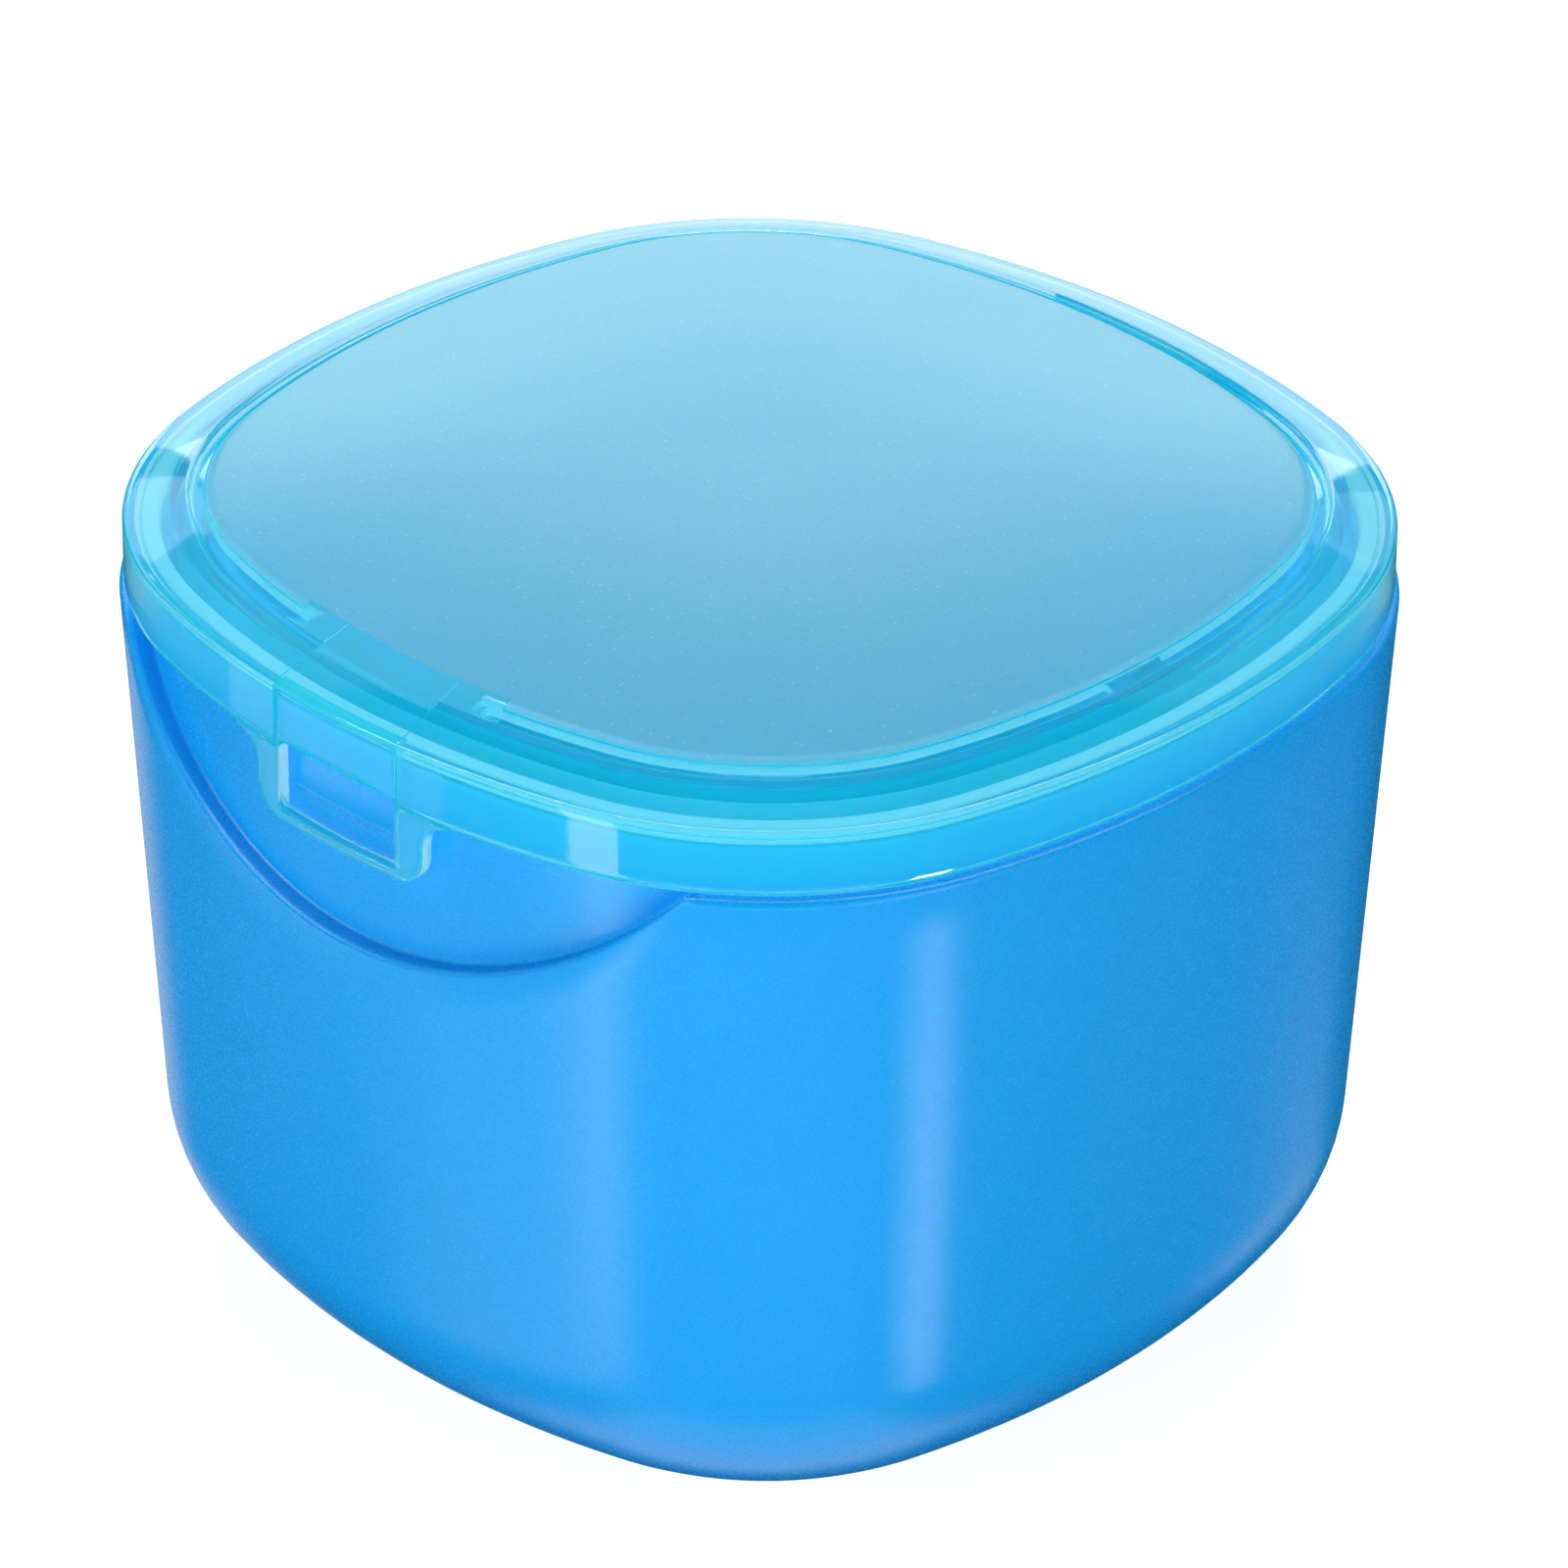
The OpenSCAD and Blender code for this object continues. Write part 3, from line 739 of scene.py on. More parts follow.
@dataclass(frozen=True)
class Tub:
    """The blue tub: walls, shoulder, thumb scoop, neck, catch, lugs and hinge ears."""

    sizes: CaseSizes
    draft_deg: float = 3.1
    foot_r: float = 15.5
    wall: float = 2.0
    shoulder_r: float = 0.6
    brim_fillet: float = 0.35
    neck_edge: float = 0.2
    scoop_r: float = 39.0
    scoop_h: float = 13.7
    neck_draft_deg: float = 2.0
    catch_w: float = 11.6
    catch_foot: float = 54.5
    catch_ridge: float = 56.39
    catch_top: float = 59.9
    catch_out: float = 0.5
    lug_l: float = 14.0
    lug_top: float = 54.8
    lug_deep: float = 2.0
    ear_foot: float = 8.0
    sunk: float = 0.5

    @property
    def scoop_mid_z(self) -> float:
        """Height of the middle of the scoop's arc."""
        return self.sizes.shoulder_z - self.scoop_h + self.scoop_r

    def skin_in(self, z: Array) -> Array:
        """Inset of the outer skin at a height: the walls lean by the draft."""
        lean = math.tan(math.radians(self.draft_deg))
        return (self.sizes.shoulder_z - z) * lean - self.sizes.shoulder_proud

    def neck_at(self, z: Array) -> Array:
        """Inset of the surface behind the scoop at a height."""
        lean = math.tan(math.radians(self.neck_draft_deg))
        return self.sizes.neck_in + np.maximum(self.sizes.shoulder_z - z, 0) * lean

    def cavity_foot(self) -> tuple[float, float]:
        """Radius of the cavity's rounding and its wall's inset there."""
        return self.foot_r - self.wall, float(self.skin_in(self.foot_r)) + self.wall

    def cavity_at(self, z: float) -> float:
        """Inset of the cavity's straight wall at a height."""
        s, (_, foot_in) = self.sizes, self.cavity_foot()
        share = (s.neck_z - z) / (s.neck_z - self.foot_r)
        return s.cavity_in + (foot_in - s.cavity_in) * share

    def brim_z(self, turns: Array, inset: Array) -> Array:
        """Height of the shoulder: the scoop's arc where that is lower, at the front.

        Args:
            turns: Turns of the normals.
            inset: Inset of the points.

        Returns:
            Heights above the table.
        """
        x, y = self.sizes.outline.at(turns, inset)
        dip = self.scoop_mid_z - np.sqrt(np.maximum(self.scoop_r**2 - x * x, 0))
        # The arc has long left the shoulder before its end
        dip = np.where((np.abs(x) < 0.95 * self.scoop_r) & (y < 0), dip, np.inf)
        return np.minimum(dip, self.sizes.shoulder_z)

    def shell(self) -> Shell:
        """The tub as one skin: out under the base, up the outside, over the shoulder,
        up the neck and down into the cavity."""
        s, line = self.sizes, self.sizes.outline
        tip_x = math.sqrt(self.scoop_r**2 - (self.scoop_mid_z - s.shoulder_z) ** 2)
        # Fine columns over the scoop and a little past its tips
        marks = np.concatenate([np.linspace(-1, 1, 181) * tip_x * 1.04, [-tip_x, tip_x]])
        turns = line.stations(COLUMNS, line.front(np.unique(marks)))
        rings = Rings(line, turns)
        lean = math.radians(self.draft_deg)
        foot_mid = float(self.skin_in(self.foot_r)) + self.foot_r / math.cos(lean)
        # Under the base and round the foot
        for share in (0.02, 0.25, 0.5, 0.75, 0.92):
            rings.add(foot_mid, 0.0, share)
        for a, b in zip(*arc(90, self.draft_deg, 18)):
            rings.add(foot_mid - self.foot_r * a, self.foot_r * (1 - b))
        # Up the wall to the shoulder, which dips in the scoop, and over its edge
        edge_z = self.brim_z(turns, self.skin_in(s.shoulder_z))
        low = edge_z - self.shoulder_r
        start = self.foot_r * (1 - math.sin(lean))
        for share in np.linspace(0, 1, 14)[1:]:
            z = start + (low - start) * share
            rings.add(self.skin_in(z), z)
        top_in = self.skin_in(low) + self.shoulder_r
        for a, b in list(zip(*arc(0, 90, 6)))[1:]:
            inset = top_in - self.shoulder_r * a
            rings.add(inset, self.brim_z(turns, inset) - self.shoulder_r * (1 - b))
        # In along the shoulder, up the neck and over its top
        brim_in = self.neck_at(edge_z)
        for share in (0.5, 0.9):
            inset = top_in + (brim_in - self.brim_fillet - top_in) * share
            rings.add(inset, self.brim_z(turns, inset))
        for a, b in zip(*arc(90, 0, ROUND_STEPS)):
            inset = brim_in - self.brim_fillet * (1 - a)
            floor_z = self.brim_z(turns, inset) + self.brim_fillet * (1 - b)
            rings.add(inset, floor_z)
        top_z = s.neck_z - self.neck_edge
        for share in np.linspace(0, 1, 12)[1:]:
            z = floor_z + (top_z - floor_z) * share
            rings.add(self.neck_at(z), z)
        rings.add(s.neck_in + self.neck_edge, s.neck_z)
        rings.add(s.cavity_in - self.neck_edge, s.neck_z)
        rings.add(s.cavity_in, top_z)
        # Down inside and over the floor
        foot_r, foot_in = self.cavity_foot()
        for z in np.linspace(s.neck_z, self.foot_r, 8)[1:-1]:
            rings.add(self.cavity_at(z), z)
        for a, b in zip(*arc(0, 90, 14)):
            rings.add(foot_in + foot_r * (1 - a), self.wall + foot_r * (1 - b))
        for share in (0.85, 0.5, 0.2, 0.02):
            rings.add(foot_in + foot_r, self.wall, share)
        return grid_shell(rings.grid())

    def catch(self) -> Shell:
        """The catch behind the latch's window: a ramp, a ridge and an undercut, bowed
        like the neck."""
        s = self.sizes
        root, face = s.neck_in + 0.6, s.neck_in - 0.1
        section = [(root, self.catch_foot), (face, self.catch_foot)]
        section += [(s.neck_in - self.catch_out + 0.25 * (1 - a), self.catch_ridge + 0.3 * b)
                    for a, b in zip(*arc(-60, 60, ROUND_STEPS))]
        section += [(face, self.catch_top), (root, self.catch_top)]
        turns = s.outline.front(np.linspace(-0.5, 0.5, 25) * self.catch_w)
        return sweep(s.outline, turns, np.array(section))

    def lugs(self) -> list[Shell]:
        """The four lugs inside that carry the basket."""
        outline = self.sizes.outline
        _, foot_in = self.cavity_foot()
        wall_in = self.cavity_at(self.lug_top)
        lug_in = wall_in + self.lug_deep
        low = self.foot_r + self.sunk
        shells = []
        for turn, reach in ((0, outline.half_d), (180, outline.half_d),
                            (90, outline.half_w), (270, outline.half_w)):
            section = np.array([
                [reach - lug_in, self.lug_top],
                [reach - lug_in, low],
                [reach - foot_in + self.sunk, low],
                [reach - wall_in + self.sunk, self.lug_top],
            ])
            shells.append(turned_about_z(
                plain_bar(finer(section, 1.2), -self.lug_l / 2, self.lug_l / 2), turn))
        return shells

    def ears(self) -> list[Shell]:
        """The two hinge ears, drawn up from the wall to a barrel round the pin."""
        s = self.sizes
        wall_y = s.outline.half_d + s.shoulder_proud
        low = s.shoulder_z - self.ear_foot
        section = np.vstack([
            circle(s.hinge, s.knuckle_r, 0, 180, 20),
            [[wall_y - self.shoulder_r, s.shoulder_z - self.sunk],
             [wall_y - self.wall, s.shoulder_z - self.sunk],
             [wall_y - self.wall, low],
             [wall_y - math.tan(math.radians(self.draft_deg)) * self.ear_foot, low]],
        ])
        inner = s.knuckle_l / 2 + s.lid_gap
        spans = ((inner, inner + s.ear_l), (-inner - s.ear_l, -inner))
        return [drilled_bar(finer(section, 0.5), s.hinge, s.bore_r, a, b) for a, b in spans]

    def build(self) -> Object:
        """The whole tub as one piece."""
        shells = [self.shell(), self.catch(), *self.lugs(), *self.ears()]
        return make_piece("tub", shells, [Finish.TUB.value.build()])


def sweep(outline: Outline, turns: Array, section: Array) -> Shell:
    """A section carried along a part of the outline, closed at both ends.

    Args:
        outline: The case's plan.
        turns: Turns of the outline's normals at the rows.
        section: Closed section as insets and heights.

    Returns:
        The closed skin.
    """
    x, y = outline.at(turns[:, None], section[None, :, 0])
    return grid_shell(np.stack([x, y, np.broadcast_to(section[:, 1], x.shape)], axis=-1))


def finer(outline: Array, step: float) -> Array:
    """A closed outline with its long edges divided.

    Args:
        outline: Corners in order.
        step: Longest edge that stays whole.

    Returns:
        The corners and the points between them.
    """
    parts = []
    for a, b in zip(outline, np.roll(outline, -1, axis=0)):
        count = max(1, math.ceil(np.linalg.norm(b - a) / step))
        parts.append(a + (b - a) * (np.arange(count) / count)[:, None])
    return np.vstack(parts)


def smooth_step(x: Array) -> Array:
    """Nought to one along a smooth S, held at the ends."""
    t = np.clip(x, 0, 1)
    return t * t * (3 - 2 * t)


@dataclass(frozen=True)
class Lid:
    """The clear lid: skirt, sloping rim, groove, frosted panel, locating rib, knuckle."""

    sizes: CaseSizes
    groove_in: float = 4.9
    groove_w: float = 1.5
    groove_deep: float = 0.8
    step_deep: float = 0.35
    groove_stop: float = 8.6
    step_slope: float = 0.16
    channel_stop: float = 9.8
    channel_out: float = 0.12
    channel_half: float = 0.5
    channel_slope: float = 0.14
    bridge: tuple[float, float] = (-3.9, 2.6)
    notch_x: float = 11.5
    notch_in: float = 7.15
    line_in: float = 3.8
    half_line: float = 0.03
    panel_edge: float = 0.8
    scaled_in: float = 9.0
    plug_t: float = 1.2
    plug_gap: float = 0.8
    plug_deep: float = 1.5
    web_h: float = 1.6
    seam_deep: float = 0.07
    seam_x: float = 0.05

    def sides(self, x: Array, y: Array) -> tuple[Array, Array]:
        """Whether points of the outline are on its front side and on its right side:
        past four fifths of the half depth and of the half width."""
        line = self.sizes.outline
        return y < -0.8 * line.half_d, x > 0.8 * line.half_w

    def turns(self) -> Array:
        """Columns of the lid: fine at the latch, the groove's ends and the bridge."""
        line = self.sizes.outline
        stop, slot = self.groove_stop, self.sizes.latch_root_w / 2
        half = np.unique(np.concatenate([
            np.linspace(0, 5.8, 13),
            slot + np.array([-0.15, -0.06, 0.0, self.seam_x, 0.13, self.sizes.seam, 0.2]),
            np.linspace(6.8, 7.5, 3), np.linspace(stop - 0.9, stop + 2.4, 34),
            np.linspace(stop + 2.6, self.notch_x - 0.01, 4),
            [self.notch_x, self.notch_x + 0.05, self.notch_x + 0.5],
        ]))
        front = line.front(np.concatenate([-half[::-1], half[1:]]))
        low, high = self.bridge
        side = line.right(np.unique(np.concatenate([
            np.linspace(low - 1.4, low + 1.4, 22), np.linspace(low + 1.4, high - 1.4, 6),
            np.linspace(high - 1.4, high + 1.4, 22)])))
        return line.stations(COLUMNS, front, side)

    def dip(self, turns: Array, inset: Array) -> Array:
        """Depth of the groove at a point: a shallow step with a narrow channel in it.

        Each is a function of the distance to its centre line, which ends in a half
        circle at the latch; the channel ends at the bridge too.

        Args:
            turns: Turns of the columns' normals.
            inset: Inset of the row.

        Returns:
            Depths below the crown.
        """
        half_w = self.groove_w / 2
        middle = self.groove_in + half_w
        x, y = self.sizes.outline.at(turns, middle)
        at_front, at_right = self.sides(x, y)
        short = np.where(at_front, np.maximum(self.groove_stop + half_w - np.abs(x), 0), 0.0)
        away = np.hypot(inset - middle, short)
        step = self.step_deep * smooth_step((half_w - away) / self.step_slope)
        short = np.where(at_front, np.maximum(self.channel_stop - np.abs(x), 0), 0.0)
        low, high = self.bridge
        bridged = np.minimum(y - low, high - y)
        short = np.where(at_right, np.maximum(short, bridged), short)
        away = np.hypot(inset - middle - self.channel_out, short)
        share = smooth_step((self.channel_half - away) / self.channel_slope)
        return step + (self.groove_deep - self.step_deep) * share

    def add_panel(self, rings: Rings) -> None:
        """The frosted panel, from its middle out. Further in than scaled_in, its rings
        are drawn in to the middle."""
        s, half_w = self.sizes, self.sizes.outline.half_w
        for share in np.linspace(0.04, 1, 26):
            inset = half_w - share * (half_w - self.scaled_in)
            rings.add(self.scaled_in, s.crown_z(inset), share, finish=1)
        for inset in (8.5, 7.8):
            rings.add(inset, s.crown_z(inset), finish=1)

    def add_groove(self, rings: Rings, aside: Array) -> None:
        """The panel's rolled edge and the groove.

        Args:
            rings: The rings so far.
            aside: How far each column is to the side of the latch's middle.
        """
        patch = aside < self.notch_x + 0.02
        frost_in = self.groove_in + self.groove_w
        edge_in = frost_in + self.panel_edge
        insets = np.concatenate([
            edge_in - self.panel_edge * np.sin(np.linspace(0, math.pi / 2, 9))[:-1],
            np.linspace(frost_in, self.groove_in - 0.1, 30),
        ])
        for inset in insets:
            z = self.sizes.crown_z(inset) - self.dip(rings.turns, inset)
            if frost_in <= inset <= edge_in:
                left = max(self.panel_edge**2 - (edge_in - inset) ** 2, 0)
                rolled = min(self.panel_edge - math.sqrt(left), self.step_deep)
                z = z - rolled * self.groove_there(rings.turns)
            frost = (~patch | (inset > self.notch_in)) & (inset > frost_in - 0.02)
            rings.add(inset, z, finish=np.where(frost, 1, 2 * patch))

    def add_rim(self, rings: Rings, between: Array) -> None:
        """The sloping rim, with close rows for the line across it.

        Args:
            rings: The rings so far.
            between: Which columns are between the seams.
        """
        insets = np.concatenate([
            np.linspace(self.groove_in - 0.3, self.line_in + 3 * self.half_line, 3),
            self.line_in + self.half_line * np.array([1, -1, -3]),
            np.linspace(self.line_in - 0.5, self.sizes.edge_r, 8),
        ])
        for inset in insets:
            thick = between & (inset > self.line_in)
            rings.add(inset, self.sizes.crown_z(inset), finish=2 * thick)

    def add_skirt(self, rings: Rings, notch: Array) -> None:
        """The rim's rounding, the skirt's outside, its lip and its inside.

        Args:
            rings: The rings so far.
            notch: Which columns are over the latch, where the skirt ends high and has
                hardly any rounding of its lip.
        """
        s = self.sizes
        low = np.where(notch, s.latch_top + s.seam, s.skirt_z)
        lip = np.where(notch, 0.03, 0.15)
        for a, b in list(zip(*arc(90, 0, 6)))[1:]:
            rings.add(s.edge_r * (1 - a), np.maximum(s.rim_z - s.edge_r * (1 - b), low + lip))
        top = np.maximum(s.rim_z - s.edge_r, low + lip)
        for share in (0.12, 0.3, 0.5, 0.7, 0.88, 1.0):
            rings.add(0.0, top + (low + lip - top) * share)
        for inset, rise in ((0.05, lip / 3), (0.15, 0.0), (s.skirt_t - 0.15, 0.0),
                            (s.skirt_t - 0.05, lip / 3), (s.skirt_t, lip)):
            rings.add(inset, low + rise)
        under = float(s.crown_z(s.skirt_t)) - s.top_t
        end = np.where(notch, under + 0.02, under - 0.2)
        for share in (0.5, 1.0):
            rings.add(s.skirt_t, low + lip + (end - low - lip) * share)
        rings.add(s.skirt_t + 0.15, under)

    def add_underside(self, rings: Rings) -> None:
        """In under the crown, and round the locating rib from its outer face to its
        inner one."""
        s, half_w = self.sizes, self.sizes.outline.half_w
        for inset in (2.0, 2.8):
            rings.add(inset, s.crown_z(inset) - s.top_t)
        outer = s.cavity_in + self.plug_gap
        inner = outer + self.plug_t
        outer_z, inner_z = (float(s.crown_z(inset)) - s.top_t for inset in (outer, inner))
        plug_z = s.neck_z - self.plug_deep
        rings.add(outer - 0.25, outer_z)
        for depth in (0.25, 1.2, 2.4):
            rings.add(outer, outer_z - depth)
        for inset, rise in ((outer, 0.2), (outer + 0.2, 0.0), (inner - 0.2, 0.0), (inner, 0.2)):
            rings.add(inset, plug_z + rise)
        for depth in (2.4, 1.2, 0.25):
            rings.add(inner, inner_z - depth)
        rings.add(inner + 0.25, inner_z + 0.02)
        for inset in (6.0, 7.0, self.scaled_in):
            rings.add(inset, s.crown_z(inset) - s.top_t)
        for share in np.linspace(1, 0.04, 20)[1:]:
            inset = half_w - share * (half_w - self.scaled_in)
            rings.add(self.scaled_in, s.crown_z(inset) - s.top_t, share)

    def shell(self) -> Shell:
        """The lid as one skin: from the middle of the top out over the panel, the
        groove and the rim, down the skirt, up inside it, round the locating rib and in
        under the crown. The frosted faces are numbered 1 and the thick clear ones
        behind the latch 2."""
        s, line = self.sizes, self.sizes.outline
        turns = self.turns()
        x, y = line.at(turns, 0.0)
        # How far each column is aside of the latch's middle; those at the back never are.
        # It is compared to bounds a little off the columns, so that rounding can't choose
        aside = np.where(y < 0, np.abs(x), np.inf)
        half_root = s.latch_root_w / 2
        between = aside < half_root
        rings = Rings(line, turns)
        self.add_panel(rings)
        self.add_groove(rings, aside)
        self.add_rim(rings, between)
        self.add_skirt(rings, aside < half_root + s.seam - 0.005)
        self.add_underside(rings)

        # The seams and the line between them are cut into the top
        grid, rows = rings.grid(), rings.rows
        seam = np.abs(aside - half_root - self.seam_x) < 0.03
        top_rows = next(k for k, row in enumerate(rows) if row[0] < 0.5 * s.edge_r)
        seam_rows = [k for k in range(top_rows) if rows[k][0] <= self.notch_in]
        grid[np.ix_(seam_rows, np.flatnonzero(seam), [2])] -= self.seam_deep
        line_rows = [k for k in seam_rows
                     if abs(rows[k][0] - self.line_in) < 1.5 * self.half_line]
        grid[np.ix_(line_rows, np.flatnonzero(between), [2])] -= self.seam_deep
        return grid_shell(grid, slots=np.array(rings.slots))

    def groove_there(self, turns: Array) -> Array:
        """One where the groove runs, nought where it has stopped at the latch."""
        x, y = self.sizes.outline.at(turns, self.groove_in)
        at_front, _ = self.sides(x, y)
        share = smooth_step((np.abs(x) - self.groove_stop) / self.panel_edge)
        return np.where(at_front, share, 1.0)

    def knuckle(self) -> Shell:
        """The hinge knuckle with the web that carries it."""
        s = self.sizes
        top = math.degrees(math.asin(self.web_h / s.knuckle_r))
        web_y = s.outline.half_d - s.skirt_t / 2
        section = np.vstack([circle(s.hinge, s.knuckle_r, 180, 540 - top, 40),
                             [[web_y, s.hinge_z + self.web_h], [web_y, s.hinge_z + 0.02]]])
        half = s.knuckle_l / 2
        return drilled_bar(finer(section, 0.6), s.hinge, s.bore_r, -half, half)

    def build(self) -> Object:
        """The whole lid as one piece."""
        finishes = [finish.value.build() for finish in (Finish.CLEAR, Finish.FROST, Finish.THICK)]
        return make_piece("clear_lid", [self.shell(), self.knuckle()], finishes, 32.0)


@dataclass(frozen=True)
class Latch:
    """The latch: a tab with a window that hangs from the lid, bowed like the skirt."""

    sizes: CaseSizes
    width: float = 17.6
    corner: float = 2.6
    drop: float = 6.2
    thick: float = 1.1
    window_w: float = 12.2
    bar_h: float = 0.8
    window_rise: float = 0.6
    edge: float = 0.18

    def outline(self) -> Array:
        """Half of the tab's outline, mirrored: down from the root, out along the
        flare, round its hollow, down the side and round the lower corner.

        Returns:
            Closed outline in X and Z.
        """
        s, r, w = self.sizes, self.corner, self.width / 2
        root = s.latch_root_w / 2
        low, top = s.skirt_z - self.drop, s.skirt_z - s.seam
        half = np.vstack([
            [[0.0, s.latch_top], [root, s.latch_top], [root, top]],
            circle((w + r, top - r), r, 90, 180, 10),
            circle((w - r, low + r), r, 0, -90, 10),
            [[0.0, low]],
        ])
        other = half[::-1][1:-1] * [-1, 1]
        return finer(np.vstack([half, other]), 0.35)

    def window(self, outline: Array) -> Array:
        """The window's outline, met by the rays from its middle to the tab's outline.

        Args:
            outline: The tab's outline.

        Returns:
            As many points, on a rectangle.
        """
        low = self.sizes.skirt_z - self.drop + self.bar_h
        high = self.sizes.skirt_z + self.window_rise
        middle = np.array([0.0, (low + high) / 2])
        half = np.array([self.window_w / 2, (high - low) / 2])
        away = outline - middle
        share = np.min(half / np.maximum(np.abs(away), 1e-9), axis=1)
        return middle + away * share[:, None]

    def shell(self) -> Shell:
        """A ring of sections round the window: over the face from the outer edge to
        the window, and back behind, each point bowed onto the front side's arc.

        Returns:
            The closed skin.
        """
        outer = self.outline()
        window = self.window(outer)
        across = window - outer
        length = np.linalg.norm(across, axis=1)
        r = self.edge
        edge = [(r * (1 - a) / length, r * (1 - b)) for a, b in zip(*arc(0, 90, 3))]
        flat = [(share * (1 - 2 * r / length) + r / length, 0.0)
                for share in np.linspace(0, 1, 7)[1:-1]]
        face = edge + flat + [(1 - share, depth) for share, depth in edge[::-1]]
        section = face + [(share, self.thick - depth) for share, depth in face[::-1]]
        arc_r = self.sizes.outline.side_r
        middle_y = arc_r - self.sizes.outline.half_d
        grid = np.empty((len(section), len(outer), 3))
        for k, (share, inset) in enumerate(section):
            x, z = (outer + across * share[:, None]).T
            grid[k, :, 0], grid[k, :, 2] = x, z
            grid[k, :, 1] = middle_y - np.sqrt((arc_r - inset) ** 2 - x**2)
        return grid_shell(grid, wrap_rows=True)

    def build(self) -> Object:
        """The latch as one piece."""
        return make_piece("snap_latch", [self.shell()], [Finish.CLEAR.value.build()], 50.0)


def round_box(low: tuple[float, float], size: tuple[float, float], r: float) -> Array:
    """A rectangle with round corners, as a closed outline.

    Args:
        low: Its lowest corner.
        size: Its sides.
        r: Radius of the corners.

    Returns:
        The outline's points.
    """
    near, far = np.array(low) + r, np.add(low, size) - r
    middles = (far, (near[0], far[1]), near, (far[0], near[1]))
    return np.vstack([circle(middle, r, 90 * k, 90 * k + 90, ROUND_STEPS)
                      for k, middle in enumerate(middles)])


@dataclass(frozen=True)
class Seal:
    """The silicone ring that the lid presses on the neck."""

    sizes: CaseSizes
    width: float = 1.4
    height: float = 0.7
    edge_in: float = 0.1
    gap: float = 0.2
    round_r: float = 0.3

    def build(self) -> Object:
        """The ring as one piece, its section rounded and carried round the case."""
        s = self.sizes
        rings = Rings(s.outline, s.outline.stations(COLUMNS))
        for inset, z in round_box((s.neck_in + self.edge_in, s.neck_z + self.gap),
                                  (self.width, self.height), self.round_r):
            rings.add(inset, z)
        return make_piece("silicone_seal", [grid_shell(rings.grid(), wrap_rows=True)],
                          [Finish.SEAL.value.build()])


@dataclass(frozen=True)
class HingePin:
    """The steel pin of the hinge, its ends rounded."""

    sizes: CaseSizes
    edge: float = 0.2

    def build(self) -> Object:
        """The pin as one piece."""
        s = self.sizes
        ring = circle(s.hinge, s.pin_d / 2, steps=48)[:-1]
        half = s.knuckle_l / 2 + s.lid_gap + s.ear_l
        return make_piece("steel_pin", [plain_bar(ring, -half, half, self.edge)],
                          [Finish.PIN.value.build()])


def read_out(items: Any, name: str, width: int = 1, kind: type = float) -> Array:
    """One attribute of a mesh's items: a row of numbers, or one number, for each."""
    values = np.empty(len(items) * width, kind)
    items.foreach_get(name, values)
    return values.reshape(-1, width) if width > 1 else values


@dataclass(frozen=True)
class Basket:
    """The strainer basket, with its slots, flange and the ears of its handle."""

    sizes: CaseSizes
    sharp_deg: float = 28.0
    near_deg: float = 15.0
    steep: float = 0.995
    weld_mm: float = 0.002

    def smooth_walls(self, mesh: Mesh) -> None:
        """Gives the walls the outline's own normals, so that the long thin faces round
        the slots don't streak.

        A face's corner on a steep wall keeps the height part of the face's normal, and
        its plan part is turned to the outline's normal there where they are near.

        Args:
            mesh: The basket's mesh, in metres.
        """
        owner = read_out(mesh.loops, "vertex_index", kind=int)
        places = read_out(mesh.vertices, "co", 3)
        counts = read_out(mesh.polygons, "loop_total", kind=int)
        faces = np.repeat(read_out(mesh.polygons, "normal", 3), counts, axis=0)
        normals = read_out(mesh.corner_normals, "vector", 3)
        plan = self.sizes.outline.normal(places[owner, :2] / MM)
        flat = np.hypot(faces[:, 0], faces[:, 1])
        along = (plan * faces[:, :2]).sum(axis=1)
        wall = (flat > self.steep) & (np.abs(along) > math.cos(math.radians(self.near_deg)) * flat)
        normals[wall, :2] = plan[wall] * (np.sign(along) * flat)[wall, None]
        normals[wall, 2] = faces[wall, 2]
        mesh.normals_split_custom_set(normals.tolist())

    def build(self) -> Object:
        """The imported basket's own mesh, its loose triangles joined and shaded smooth."""
        mesh = bpy.data.meshes.new("drain_basket")
        whole = bmesh.new()
        whole.from_mesh(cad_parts["strainer_basket"].data)
        bmesh.ops.remove_doubles(whole, verts=whole.verts, dist=self.weld_mm * MM)
        whole.to_mesh(mesh)
        whole.free()
        mesh.materials.clear()
        mesh.materials.append(Finish.BASKET.value.build())
        mesh.shade_smooth()
        mesh.set_sharp_from_angle(angle=math.radians(self.sharp_deg))
        self.smooth_walls(mesh)
        piece = bpy.data.objects.new("drain_basket", mesh)
        bpy.context.scene.collection.objects.link(piece)
        LOG.info("drain_basket: %d points, %d faces", len(mesh.vertices), len(mesh.polygons))
        return piece


